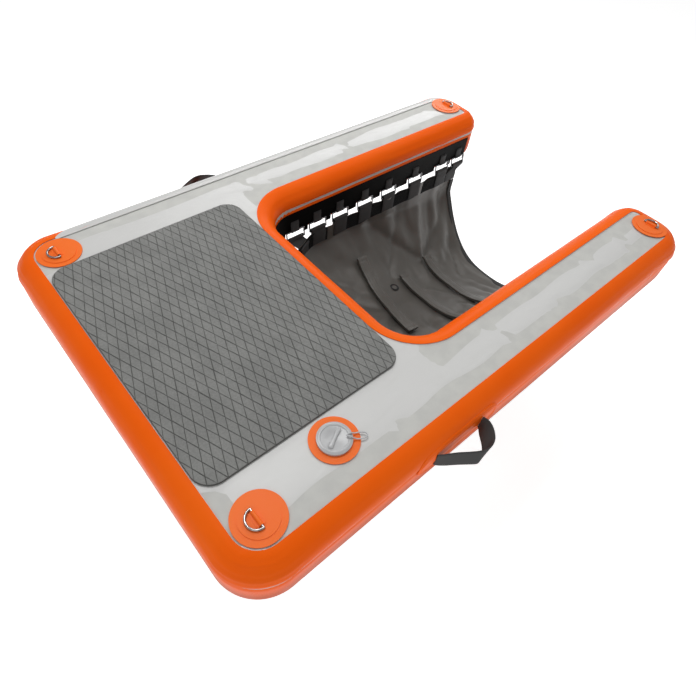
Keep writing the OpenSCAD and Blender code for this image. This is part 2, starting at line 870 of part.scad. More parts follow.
// Height of the fabric's inner surface over the straight part of the hem
function floor_z(x, y) = lookup(abs(y),
    [for (q = rib([x, hem_side - lap, 0, 0], 1)) [q[1], q[2]]]);

// A strip laid across the fabric at x from -y1 to y1, lifted clear of it
module cross_strip(x, width, lift, thick, y1) {
    n = 16;
    rows = [for (i = [0:n]) let (
            y = -y1 + 2 * y1 * i / n,
            rise = (floor_z(x, y + 1) - floor_z(x, y - 1)) / 2,
            up = [0, -rise, 1] / norm([0, -rise, 1]))
        each [for (q = [[-1, 0], [1, 0], [1, 1], [-1, 1]])
            let (px = x + q[0] * width / 2)
            [px, y, floor_z(px, y)] + up * (lift + q[1] * thick)]];
    walls = [for (i = [0:n - 1], k = [0:3]) let (m = (k + 1) % 4) each [
        [4 * i + k, 4 * i + m, 4 * i + 4 + m],
        [4 * i + k, 4 * i + 4 + m, 4 * i + 4 + k]]];
    ends = [[3, 2, 1, 0], [for (k = [0:3]) 4 * n + k]];
    polyhedron(rows, concat(walls, ends));
}

module batten(i) {
    color([0.15, 0.16, 0.15]) cross_strip(sling_x - batten_x[i], 24, 0.6, 3, batten_l / 2);
}

module sleeve(i) {
    color([0.1, 0.1, 0.1]) cross_strip(sling_x - batten_x[i], 34, 4.2, 1, batten_l / 2 + 8);
}

// Tape along the fabric's front edge
module edge_binding() {
    tape_x = 8;
    tape_h = 4;
    top_rib = rib(HALF[0], 0);
    half = [for (k = [2:len(top_rib) - 1]) top_rib[k]];
    line = concat(half, [for (k = [len(half) - 1:-1:0]) [half[k][0], -half[k][1], half[k][2]]]);
    n = len(line) - 1;
    rows = [for (i = [0:n]) let (
            a = line[max(i - 1, 0)],
            b = line[min(i + 1, n)],
            d = (b - a) / norm(b - a),
            up = [0, d[2], -d[1]])
        each [for (q = [[0, 0], [1, 0], [1, 1], [0, 1]])
            line[i] + [fit + q[0] * tape_x, 0, 0] + up * q[1] * tape_h]];
    walls = [for (i = [0:n - 1], k = [0:3]) let (m = (k + 1) % 4) each [
        [4 * i + k, 4 * i + 4 + m, 4 * i + m],
        [4 * i + k, 4 * i + 4 + k, 4 * i + 4 + m]]];
    ends = [[0, 1, 2, 3], [for (k = [3:-1:0]) 4 * n + k]];
    color(BLACK) polyhedron(rows, concat(walls, ends));
}

module drain_eyelet() {
    x = hem_cx + 170;
    y = 78;
    rise = (floor_z(x, y + 1) - floor_z(x, y - 1)) / 2;
    pitch = (floor_z(x + 1, y) - floor_z(x - 1, y)) / 2;
    color([0.25, 0.25, 0.25])
    translate([x, y, floor_z(x, y)])
        rotate([atan(rise), -atan(pitch), 0])
            ring(14, 8, 0.9, 1.5);
}

deck_core();
arm_core(-1);  // arm_core_near
arm_core(1);  // arm_core_far
top_skin();
bottom_skin();
outer_sidewall();
inner_sidewall();
outer_edge_tape();
inner_edge_tape();
band_arm(-1);  // band_near
band_arm(1);  // band_far
band_back();
deck_pad();
valve_patch();
valve_housing();
valve_nut();
valve_plunger();
valve_seal();
valve_spring();
valve_cap();
cap_gasket();
cap_tether();
dring_base(-1, -1);  // dring_base_back_near
dring_base(-1, 1);  // dring_base_back_far
dring_base(1, -1);  // dring_base_tip_near
dring_base(1, 1);  // dring_base_tip_far
dring_cover(-1, -1);  // dring_cover_back_near
dring_cover(-1, 1);  // dring_cover_back_far
dring_cover(1, -1);  // dring_cover_tip_near
dring_cover(1, 1);  // dring_cover_tip_far
dring(-1, -1);  // dring_back_near
dring(-1, 1);  // dring_back_far
dring(1, -1);  // dring_tip_near
dring(1, 1);  // dring_tip_far
handle_patch(-1);  // handle_patch_near
handle_patch(1);  // handle_patch_far
handle_anchor(-1);  // handle_anchor_near
handle_anchor(1);  // handle_anchor_far
handle(-1);  // handle_near
handle(1);  // handle_far
hanger_tabs(-1);  // hanger_tabs_near
hanger_tabs(1);  // hanger_tabs_far
hanger_tabs_back();
hanger_rings(-1);  // hanger_rings_near
hanger_rings(1);  // hanger_rings_far
hanger_rings_back();
sling_straps(-1);  // sling_straps_near
sling_straps(1);  // sling_straps_far
sling_straps_back();
sling_hem();
sling_fabric();
edge_binding();
batten(0);  // batten_front
batten(1);  // batten_middle
batten(2);  // batten_rear
sleeve(0);  // sleeve_front
sleeve(1);  // sleeve_middle
sleeve(2);  // sleeve_rear
drain_eyelet();
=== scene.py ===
"""Looks of an inflatable U-shaped swim platform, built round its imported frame."""

from __future__ import annotations

import json
import logging
import math
from dataclasses import dataclass
from enum import Enum
from typing import Callable, Sequence

import bmesh
import bpy
import numpy as np
from mathutils import Matrix, Vector, noise

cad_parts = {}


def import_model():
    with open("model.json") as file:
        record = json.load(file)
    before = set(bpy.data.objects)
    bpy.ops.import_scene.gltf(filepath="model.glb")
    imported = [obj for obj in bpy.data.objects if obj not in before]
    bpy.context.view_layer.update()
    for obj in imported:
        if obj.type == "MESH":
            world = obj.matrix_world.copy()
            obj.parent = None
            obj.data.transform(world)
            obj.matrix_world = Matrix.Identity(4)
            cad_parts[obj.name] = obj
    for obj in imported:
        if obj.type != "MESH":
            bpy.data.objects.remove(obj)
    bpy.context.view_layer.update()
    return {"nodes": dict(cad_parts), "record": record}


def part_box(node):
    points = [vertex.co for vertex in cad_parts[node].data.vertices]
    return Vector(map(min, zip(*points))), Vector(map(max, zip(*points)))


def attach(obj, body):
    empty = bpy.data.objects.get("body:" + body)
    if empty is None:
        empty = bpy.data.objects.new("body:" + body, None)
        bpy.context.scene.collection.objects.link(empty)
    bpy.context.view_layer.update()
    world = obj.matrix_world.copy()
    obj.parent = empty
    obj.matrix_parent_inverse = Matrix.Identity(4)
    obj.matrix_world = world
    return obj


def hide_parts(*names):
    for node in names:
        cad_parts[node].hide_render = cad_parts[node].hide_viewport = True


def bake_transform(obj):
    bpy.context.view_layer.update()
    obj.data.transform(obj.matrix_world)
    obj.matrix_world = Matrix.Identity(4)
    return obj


LOG = logging.getLogger("swim_platform")
Colour = tuple[float, float, float]
Place = Callable[[float, float], Vector]
Station = tuple[Vector, Vector]
Leg = float | tuple[float, int]
Piece = bpy.types.Object
Socket = bpy.types.NodeSocket
Material = bpy.types.Material
UP = Vector((0.0, 0.0, 1.0))


class Side(Enum):
    """The two arms, by the sign of their Y."""

    NEAR = -1
    FAR = 1


class Body(str, Enum):
    """The rigid bodies that pieces ride on."""

    PLATFORM = "platform"
    HANDLE_NEAR = "handle_loop_near"
    HANDLE_FAR = "handle_loop_far"
    CAP = "cap"


# ---- shader expressions ----------------------------------------------------


class Value:
    """A shader socket that takes part in Python arithmetic."""

    def __init__(self, tree: Tree, socket: Socket) -> None:
        """Wraps one output socket of a tree."""
        self.tree = tree
        self.socket = socket

    def math(self, operation: str, *others: Value | float) -> Value:
        """Adds one Math node, with this value as its first operand.

        Args:
            operation: the node's operation.
            others: the other operands.

        Returns:
            The node's result.
        """
        node = self.tree.add("ShaderNodeMath", {"operation": operation}, self, *others)
        return Value(self.tree, node.outputs[0])

    def __add__(self, other: Value | float) -> Value:
        """Sum."""
        return self.math("ADD", other)

    def __mul__(self, other: Value | float) -> Value:
        """Product."""
        return self.math("MULTIPLY", other)

    def wave(self, pitch: float) -> Value:
        """A wave from 0 to 1 that repeats every pitch."""
        return (self * (2 * math.pi / pitch)).math("SINE") * 0.5 + 0.5

    def ramp(self, low: float, high: float) -> Value:
        """Goes smoothly from 0 at low to 1 at high."""
        node = self.tree.add(
            "ShaderNodeMapRange", {"interpolation_type": "SMOOTHSTEP"}, self, low, high, 0.0, 1.0)
        return Value(self.tree, node.outputs[0])


class Tree:
    """The node tree of one material."""

    def __init__(self, name: str) -> None:
        """Starts an empty material with its shader and output."""
        self.material = bpy.data.materials.new(name)
        self.material.use_nodes = True
        self.nodes = self.material.node_tree.nodes
        self.links = self.material.node_tree.links
        self.nodes.clear()
        self.shader = self.nodes.new("ShaderNodeBsdfPrincipled")
        output = self.nodes.new("ShaderNodeOutputMaterial")
        self.links.new(self.shader.outputs[0], output.inputs[0])
        self._coordinates = self.nodes.new("ShaderNodeTexCoord")

    def add(self, kind: str, settings: dict[str, object], *sockets: object) -> bpy.types.Node:
        """Adds a node.

        Args:
            kind: the node's type.
            settings: its properties, set first.
            sockets: values or links for its inputs, in order; None skips one.

        Returns:
            The node.
        """
        node = self.nodes.new(kind)
        for key, value in settings.items():
            setattr(node, key, value)
        for index, value in enumerate(sockets):
            self.feed(node.inputs[index], value)
        return node

    def feed(self, target: Socket, value: object) -> None:
        """Links or sets one input; None leaves it alone."""
        if isinstance(value, Value):
            self.links.new(value.socket, target)
        elif isinstance(value, Socket):
            self.links.new(value, target)
        elif value is not None:
            target.default_value = value

    def place(self) -> Socket:
        """Object coordinates, in metres."""
        return self._coordinates.outputs["Object"]

    def cloth(self) -> Socket:
        """The piece's own UV map, in metres along and across it."""
        return self._coordinates.outputs["UV"]

    def axes(self, vector: Socket) -> tuple[Value, Value, Value]:
        """The three parts of a vector."""
        node = self.add("ShaderNodeSeparateXYZ", {}, vector)
        x, y, z = (Value(self, node.outputs[i]) for i in range(3))
        return x, y, z

    def stretch(self, vector: Socket, scale: Sequence[float], turn: float = 0.0) -> Socket:
        """A vector scaled along its axes, and turned about Z first by turn."""
        node = self.add("ShaderNodeMapping", {"vector_type": "POINT"}, vector)
        node.inputs["Scale"].default_value = scale
        node.inputs["Rotation"].default_value = (0.0, 0.0, turn)
        return node.outputs[0]

    def grain(self, vector: Socket, scale: float, detail: float = 2.0, rough: float = 0.5) -> Value:
        """Noise of that scale, from 0 to 1."""
        node = self.add("ShaderNodeTexNoise", {}, vector)
        node.inputs["Scale"].default_value = scale
        node.inputs["Detail"].default_value = detail
        node.inputs["Roughness"].default_value = rough
        return Value(self, node.outputs[0])

    def blend(self, share: Value, low: object, high: object) -> Socket:
        """A colour between two colours."""
        node = self.add("ShaderNodeMix", {"data_type": "RGBA"})
        self.feed(node.inputs[0], share)
        self.feed(node.inputs[6], (*low, 1.0) if isinstance(low, tuple) else low)
        self.feed(node.inputs[7], (*high, 1.0) if isinstance(high, tuple) else high)
        return node.outputs[2]

    def relief(self, height: Value, depth: float, strength: float = 1.0, under: object = None) -> Socket:
        """Bump of that depth in metres, on top of another bump."""
        node = self.add("ShaderNodeBump", {})
        node.inputs["Distance"].default_value = depth
        node.inputs["Strength"].default_value = strength
        self.feed(node.inputs["Height"], height)
        self.feed(node.inputs["Normal"], under)
        return node.outputs[0]

    def dress(self, colour: object, rough: object, normal: object = None, **fixed: object) -> Material:
        """Sets the shader.

        Args:
            colour: base colour, or a link to it.
            rough: roughness, or a link to it.
            normal: a link to the normal.
            fixed: constants for other sockets, their names with _ for spaces.

        Returns:
            The material.
        """
        self.feed(self.shader.inputs["Base Color"], (*colour, 1.0) if isinstance(colour, tuple) else colour)
        self.feed(self.shader.inputs["Roughness"], rough)
        self.feed(self.shader.inputs["Normal"], normal)
        for key, value in fixed.items():
            self.shader.inputs[key.replace("_", " ")].default_value = value
        return self.material


# ---- finishes --------------------------------------------------------------


@dataclass(frozen=True)
class CoatedFilm:
    """Welded PVC film over woven polyester, taut over air."""

    name: str
    colour: Colour
    worn: Colour
    rough: float = 0.34
    ripple: float = 0.0012
    coat: float = 0.25
    gloss: float = 0.5
    # foot is the colour of painted shade low on the wall; None paints no shade.
    foot: Colour | None = None

    def make(self) -> Material:
        """Builds the material: scrim, ripples, faint scuffs and cloudy sheen, and with a foot colour a
        painted shade low on the wall.
        """
        tree = Tree(self.name)
        at = tree.place()
        x, y, z = tree.axes(at)
        cloud = tree.grain(at, 5.0, 3.0).ramp(0.3, 0.75)
        scuff = tree.grain(tree.stretch(at, (60.0, 240.0, 60.0), 0.6), 1.0, 4.0, 0.7).ramp(0.62, 0.8)
        colour = tree.blend(cloud * 0.55 + scuff * 0.25, self.colour, self.worn)
        # Painted shade: below about 98 mm the colour darkens towards foot, most at 30 mm and under, standing
        # in for shade low on the wall.
        if self.foot:
            colour = tree.blend((z * -1.0).ramp(-0.098, -0.030) * 0.7, colour, self.foot)
        rough = cloud * 0.12 + scuff * 0.1 + (self.rough - 0.05)
        scrim = (x + z * 0.7).wave(0.0011) * (y + z * 0.7).wave(0.0011)
        puff = tree.grain(at, 11.0, 2.0, 0.45)
        crease = tree.grain(tree.stretch(at, (9.0, 30.0, 14.0), 0.9), 1.0, 1.5, 0.4).ramp(0.45, 0.62)
        low = tree.relief(puff + crease * 0.35, self.ripple, 0.55)
        normal = tree.relief(scrim, 0.00012, 0.4, low)
        return tree.dress(colour, rough, normal, Coat_Weight=self.coat, Coat_Roughness=0.32,
                          IOR=1.5, Specular_IOR_Level=self.gloss)


@dataclass(frozen=True)
class FoamSheet:
    """Closed-cell foam with open pores on its cut face."""

    name: str
    colour: Colour
    shade: Colour

    def make(self) -> Material:
        """Builds the material: pores, speckle and broad patches."""
        tree = Tree(self.name)
        at = tree.place()
        pores = tree.grain(at, 900.0, 3.0, 0.65)
        speckle = tree.grain(at, 260.0, 3.0, 0.7).ramp(0.35, 0.7)
        patch = tree.grain(at, 14.0, 3.0).ramp(0.3, 0.7)
        colour = tree.blend(speckle * 0.45 + patch * 0.4, self.colour, self.shade)
        rough = pores * 0.15 + 0.68
        normal = tree.relief(pores + speckle * 0.6, 0.0006, 0.5)
        return tree.dress(colour, rough, normal, Sheen_Weight=0.15, Sheen_Roughness=0.5)


@dataclass(frozen=True)
class Webbing:
    """Flat woven strap; its UV map runs along and across it."""

    name: str
    colour: Colour
    shine: Colour
    rib: float = 0.0022

    def make(self) -> Material:
        """Builds the material: ribs across, a twill slant, fuzz and rubbed patches."""
        tree = Tree(self.name)
        u, v, _ = tree.axes(tree.cloth())
        warp = v.wave(self.rib * 0.62)
        weft = (u + (v * (math.pi / self.rib)).math("SINE") * (self.rib * 0.25)).wave(self.rib)
        weave = warp * 0.45 + weft * 0.55
        fuzz = tree.grain(tree.stretch(tree.cloth(), (900.0, 300.0, 1.0)), 1.0, 3.0, 0.7)
        wear = tree.grain(tree.cloth(), 30.0, 2.0).ramp(0.45, 0.75)
        colour = tree.blend(weave * 0.5 + fuzz * 0.2 + wear * 0.2, self.colour, self.shine)
        normal = tree.relief(weave + fuzz * 0.3, 0.0006, 0.8)
        return tree.dress(colour, fuzz * 0.15 + 0.6, normal, Sheen_Weight=0.02, Sheen_Roughness=0.4,
                          Specular_IOR_Level=0.05)


@dataclass(frozen=True)
class CoatedCloth:
    """Coated Oxford cloth of the sling, with an oily sheen."""

    name: str
    colour: Colour
    bloom: Colour

    def make(self) -> Material:
        """Builds the material: basket weave, small creases and rubbed folds."""
        tree = Tree(self.name)
        at = tree.cloth()
        u, v, _ = tree.axes(at)
        weave = u.wave(0.0011) * v.wave(0.0011)
        crush = tree.grain(at, 26.0, 5.0, 0.62)
        fold = tree.grain(tree.stretch(at, (5.0, 16.0, 1.0), 0.5), 1.0, 4.0, 0.55)
        dust = tree.grain(at, 7.0, 4.0, 0.6).ramp(0.35, 0.72)
        colour = tree.blend(dust * 0.65 + crush * 0.25, self.colour, self.bloom)
        rough = crush * 0.22 + 0.30
        soft = tree.relief(fold + crush * 0.5, 0.006, 0.6)
        normal = tree.relief(weave, 0.00015, 0.5, soft)
        return tree.dress(colour, rough, normal, Sheen_Weight=0.01, Sheen_Roughness=0.35,
                          Specular_IOR_Level=0.12)


@dataclass(frozen=True)
class Moulded:
    """Injection-moulded plastic or rubber."""

    name: str
    colour: Colour
    shade: Colour
    rough: float
    coat: float = 0.0

    def make(self) -> Material:
        """Builds the material: spark-eroded grain and flow clouding."""
        tree = Tree(self.name)
        at = tree.place()
        grain = tree.grain(at, 1400.0, 2.0, 0.6)
        cloud = tree.grain(at, 35.0, 3.0).ramp(0.3, 0.7)
        colour = tree.blend(cloud * 0.6, self.colour, self.shade)
        normal = tree.relief(grain, 0.00012, 0.5)
        rough = grain * 0.12 + (self.rough - 0.06)
        return tree.dress(colour, rough, normal, Coat_Weight=self.coat, Coat_Roughness=0.15)


@dataclass(frozen=True)
class Metal:
    """Bent wire, polished or plated."""

    name: str
    colour: Colour
    shade: Colour
    rough: float

    def make(self) -> Material:
        """Builds the material: drawing lines and dark smudges."""
        tree = Tree(self.name)
        at = tree.place()
        smudge = tree.grain(at, 160.0, 4.0, 0.6).ramp(0.4, 0.75)
        lines = tree.grain(tree.stretch(at, (500.0, 500.0, 3000.0)), 1.0, 2.0)
        colour = tree.blend(smudge * 0.6, self.colour, self.shade)
        normal = tree.relief(lines, 0.00005, 0.4)
        return tree.dress(colour, smudge * 0.18 + self.rough, normal, Metallic=1.0)


class Finish(Enum):
    """Every finish on the platform."""

    DECK = CoatedFilm("deck_film", (0.61, 0.61, 0.595), (0.66, 0.655, 0.645), 0.36, 0.0020, 0.3)
    # ORANGE's last colour is painted shade, darkening the wall towards its bottom.
    ORANGE = CoatedFilm("orange_film", (0.97, 0.125, 0.004), (1.0, 0.16, 0.010), 0.36, 0.0013, 0.0, 0.05,
                        (0.34, 0.034, 0.002))
    PATCH = CoatedFilm("orange_patch_film", (1.0, 0.175, 0.022), (1.0, 0.21, 0.035), 0.34, 0.0004, 0.03, 0.14)
    BLACK = CoatedFilm("black_film", (0.003, 0.0026, 0.0024), (0.006, 0.005, 0.005), 0.5, 0.0012, 0.0, 0.04)
    STITCH = Moulded("drop_stitch_block", (0.6, 0.6, 0.57), (0.52, 0.52, 0.5), 0.8)
    FOAM = FoamSheet("foam_tread", (0.175, 0.177, 0.170), (0.265, 0.266, 0.255))
    # Painted shade: the tread's base sheet is dark so that the grooves between the diamonds read as shaded.
    PAINTED_GROOVE_SHADE = FoamSheet("foam_painted_groove_shade", (0.080, 0.082, 0.076), (0.110, 0.112, 0.104))
    VALVE = Moulded("valve_grey", (0.47, 0.475, 0.48), (0.54, 0.54, 0.545), 0.3, 0.3)
    VALVE_INSIDE = Moulded("valve_white", (0.62, 0.62, 0.62), (0.55, 0.55, 0.55), 0.4)
    TETHER = Moulded("tether_grey", (0.55, 0.56, 0.57), (0.48, 0.49, 0.5), 0.38, 0.2)
    SEAL = Moulded("seal_black", (0.012, 0.012, 0.012), (0.02, 0.02, 0.02), 0.55)
    STEEL = Metal("bright_steel", (0.50, 0.48, 0.47), (0.16, 0.14, 0.13), 0.07)
    DARK_STEEL = Metal("dark_wire", (0.30, 0.30, 0.31), (0.06, 0.06, 0.06), 0.14)
    STRAP = Webbing("black_webbing", (0.004, 0.004, 0.0042), (0.022, 0.022, 0.023))
    HEM = Webbing("hem_webbing", (0.005, 0.0055, 0.0055), (0.02, 0.021, 0.021), 0.0016)
    CLOTH = CoatedCloth("sling_cloth", (0.0075, 0.0055, 0.0042), (0.021, 0.015, 0.011))

    def material(self) -> Material:
        """The finish's material, made on first use."""
        return bpy.data.materials.get(self.value.name) or self.value.make()


# ---- modelling -------------------------------------------------------------


class Bench:
    """Modelling steps that the sub-assemblies share."""

    @staticmethod
    def clear() -> None:
        """Leaves edit mode and deselects everything."""
        if bpy.context.object and bpy.context.object.mode != "OBJECT":
            bpy.ops.object.mode_set(mode="OBJECT")
        bpy.ops.object.select_all(action="DESELECT")

    @staticmethod
    def pick(piece: Piece) -> None:
        """Makes a piece the active one, and the only one selected."""
        Bench.clear()
        piece.select_set(True)
        bpy.context.view_layer.objects.active = piece

    @staticmethod
    def grid(name: str, along: int, across: int, place: Place, size: tuple[float, float],
             closed: bool = False) -> Piece:
        """A grid primitive laid on a surface.

        Args:
            name: the piece's name.
            along: faces along the first direction.
            across: faces along the second direction.
            place: the point for each pair of shares from 0 to 1.
            size: length and width in metres, for the UV map.
            closed: whether the two ends along the first direction meet.

        Returns:
            The new object, at the origin.
        """
        Bench.clear()
        bpy.ops.mesh.primitive_grid_add(x_subdivisions=along, y_subdivisions=across, size=2.0, calc_uvs=True)
        piece = bpy.context.object
        piece.name = piece.data.name = name
        uv = piece.data.uv_layers.active
        for loop, corner in zip(piece.data.loops, uv.data):
            flat = piece.data.vertices[loop.vertex_index].co
            corner.uv = ((flat.x + 1) / 2 * size[0], (flat.y + 1) / 2 * size[1])
        for vertex in piece.data.vertices:
            vertex.co = place((vertex.co.x + 1) / 2, (vertex.co.y + 1) / 2)
        if closed:
            Bench.weld(piece, 1e-5)
        piece.data.update()
        return piece

    @staticmethod
    def edit(piece: Piece, step: Callable[[], object]) -> None:
        """Runs one edit-mode step on all of a piece."""
        Bench.pick(piece)
        bpy.ops.object.mode_set(mode="EDIT")
        bpy.ops.mesh.select_all(action="SELECT")
        step()
        bpy.ops.object.mode_set(mode="OBJECT")

    @staticmethod
    def weld(piece: Piece, reach: float) -> None:
        """Joins points that lie within reach of each other."""
        Bench.edit(piece, lambda: bpy.ops.mesh.remove_doubles(threshold=reach))

    @staticmethod
    def face_out(piece: Piece) -> None:
        """Turns every face outwards."""
        Bench.edit(piece, lambda: bpy.ops.mesh.normals_make_consistent(inside=False))

    @staticmethod
    def flip(piece: Piece) -> None:
        """Turns every face over."""
        Bench.edit(piece, lambda: bpy.ops.mesh.flip_normals())

    @staticmethod
    def modify(piece: Piece, kind: str, **settings: object) -> None:
        """Adds a modifier and applies it."""
        Bench.pick(piece)
        modifier = piece.modifiers.new(kind.lower(), kind)
        for key, value in settings.items():
            setattr(modifier, key, value)
        bpy.ops.object.modifier_apply(modifier=modifier.name)

    @staticmethod
    def join(name: str, pieces: Sequence[Piece]) -> Piece:
        """Joins pieces into one object of that name."""
        Bench.clear()
        for piece in pieces:
            piece.select_set(True)
        bpy.context.view_layer.objects.active = pieces[0]
        if len(pieces) > 1:
            bpy.ops.object.join()
        joined = bpy.context.object
        joined.name = joined.data.name = name
        return joined

    @staticmethod
    def smooth(piece: Piece, angle: float = 40.0) -> None:
        """Smooths a piece except at sharp edges."""
        Bench.pick(piece)
        bpy.ops.object.shade_smooth_by_angle(angle=math.radians(angle))

    @staticmethod
    def fit(piece: Piece, finish: Finish, slot: str, *replaces: str, body: Body = Body.PLATFORM) -> Piece:
        """Dresses a piece and puts it on its body.

        Args:
            piece: the finished piece.
            finish: its finish.
            slot: the record's material slot; not used.
            replaces: CAD nodes that it stands for.
            body: the body that it rides on.

        Returns:
            The piece.
        """
        piece.data.materials.clear()
        piece.data.materials.append(finish.material())
        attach(piece, body.value)
        if replaces:
            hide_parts(*replaces)
        LOG.info("%s: %d faces", piece.name, len(piece.data.polygons))
        return piece


# ---- shared shapes ---------------------------------------------------------


def window(value: float, low: float, high: float, soft: float) -> float:
    """1 between low and high, falling smoothly to 0 over soft outside them."""
    rise = min(1.0, max(0.0, (value - low + soft) / soft))
    fall = min(1.0, max(0.0, (high + soft - value) / soft))
    share = min(rise, fall)
    return share * share * (3.0 - 2.0 * share)


def ripple(x: float, y: float, z: float = 0.0) -> float:
    """Smooth noise from about -1 to 1."""
    return noise.noise(Vector((x, y, z)))


def right_of(ahead: Vector) -> Vector:
    """The level direction to the right of a level one."""
    return Vector((ahead.y, -ahead.x, 0.0))


@dataclass
class Walk:
    """A line in plan, walked as straights and quarter turns.

    legs holds a length for a straight, or (radius, sign) for a turn, with sign
    1 to the left and -1 to the right.
    """

    start: Vector
    heading: float
    legs: list[Leg]

    def __post_init__(self) -> None:
        """Works out where each leg starts."""
        self.marks: list[tuple[float, Vector, float]] = []
        at, heading, run = self.start.copy(), self.heading, 0.0
        for leg in self.legs:
            self.marks.append((run, at.copy(), heading))
            length = self.length_of(leg)
            at, _, heading = self._inside(leg, at, heading, length)
            run += length
        self.length = run

    @staticmethod
    def length_of(leg: Leg) -> float:
        """Length of one leg."""
        return leg if isinstance(leg, float) else leg[0] * math.pi / 2

    @staticmethod
    def _inside(leg: Leg, at: Vector, heading: float, run: float) -> tuple[Vector, Vector, float]:
        """Point, direction and heading at a distance into one leg."""
        if isinstance(leg, float):
            ahead = Vector((math.cos(heading), math.sin(heading), 0.0))
            return at + ahead * run, ahead, heading
        radius, sign = leg
        left = Vector((-math.sin(heading), math.cos(heading), 0.0))
        centre = at + left * radius * sign
        turn = sign * run / radius
        out = Matrix.Rotation(turn, 3, "Z") @ (at - centre)
        now = heading + turn
        return centre + out, Vector((math.cos(now), math.sin(now), 0.0)), now

    def at(self, run: float) -> tuple[Vector, Vector]:
        """The point and its direction at a distance along the line."""
        run = min(max(run, 0.0), self.length)
        index = max(i for i, mark in enumerate(self.marks) if mark[0] <= run + 1e-9)
        begin, at, heading = self.marks[index]
        point, ahead, _ = self._inside(self.legs[index], at, heading, run - begin)
        return point, ahead

    def middle_of(self, index: int) -> float:
        """Distance along the line to the middle of one leg."""
        return self.marks[index][0] + self.length_of(self.legs[index]) / 2


@dataclass
class Plan:
    """The board's outline, its heights and its rolled edge."""

    back_r: float = 0.095
    tip_r: float = 0.090
    inner_r: float = 0.060
    gap_r: float = 0.090
    roll: float = 0.044
    tape_drop: float = 0.046

    def __post_init__(self) -> None:
        """Reads the board's limits from the frame and lays out the outline."""
        low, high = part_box("outer_sidewall")
        inner_low, inner_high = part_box("inner_sidewall")
        self.back, self.tip, self.side, self.top = low.x, high.x, high.y, high.z
        self.gap = inner_low.x + self.roll
        self.gap_side = inner_high.y - self.roll
        edge = self.side - self.back_r
        flank = self.tip - self.back - self.back_r - self.tip_r
        end = self.side - self.tip_r - self.gap_side - self.inner_r
        inner = self.tip - self.gap - self.inner_r - self.gap_r
        arm = [flank, (self.tip_r, 1), end, (self.inner_r, 1), inner]
        other = [inner, (self.inner_r, 1), end, (self.tip_r, 1), flank]
        self.outline = Walk(
            Vector((self.back, 0.0, 0.0)), -math.pi / 2,
            [edge, (self.back_r, 1), *arm, (self.gap_r, -1), 2 * (self.gap_side - self.gap_r),
             (self.gap_r, -1), *other, (self.back_r, 1), edge],
        )
        self.straight = self.top - 2 * self.roll
        self.girth = math.pi * self.roll + self.straight
        self.quarter = math.pi / 2 * self.roll
        self.tape_at = self.quarter + self.tape_drop - self.roll
        self.convex = [self.outline.middle_of(i) for i in (1, 3, 5, 11, 13, 15)]
        self.concave = [self.outline.middle_of(i) for i in (7, 9)]

    def skin(self, run: float, down: float, lift: float) -> Vector:
        """A point on the wall.

        Args:
            run: distance along the outline.
            down: distance down the wall from the roll line on top.
            lift: height above the wall's surface.

        Returns:
            The point.
        """
        point, ahead = self.outline.at(run)
        out, quarter = right_of(ahead), self.quarter
        radius = self.roll + lift
        if down <= quarter:
            angle = down / self.roll
            across, z = radius * math.sin(angle), self.top - self.roll + radius * math.cos(angle)
        elif down <= quarter + self.straight:
            across, z = radius, self.top - self.roll - (down - quarter)
        else:
            angle = (down - quarter - self.straight) / self.roll
            across, z = radius * math.cos(angle), self.roll - radius * math.sin(angle)
        place = point + out * (across - self.roll)
        place.z = z
        return place


# ---- board -----------------------------------------------------------------


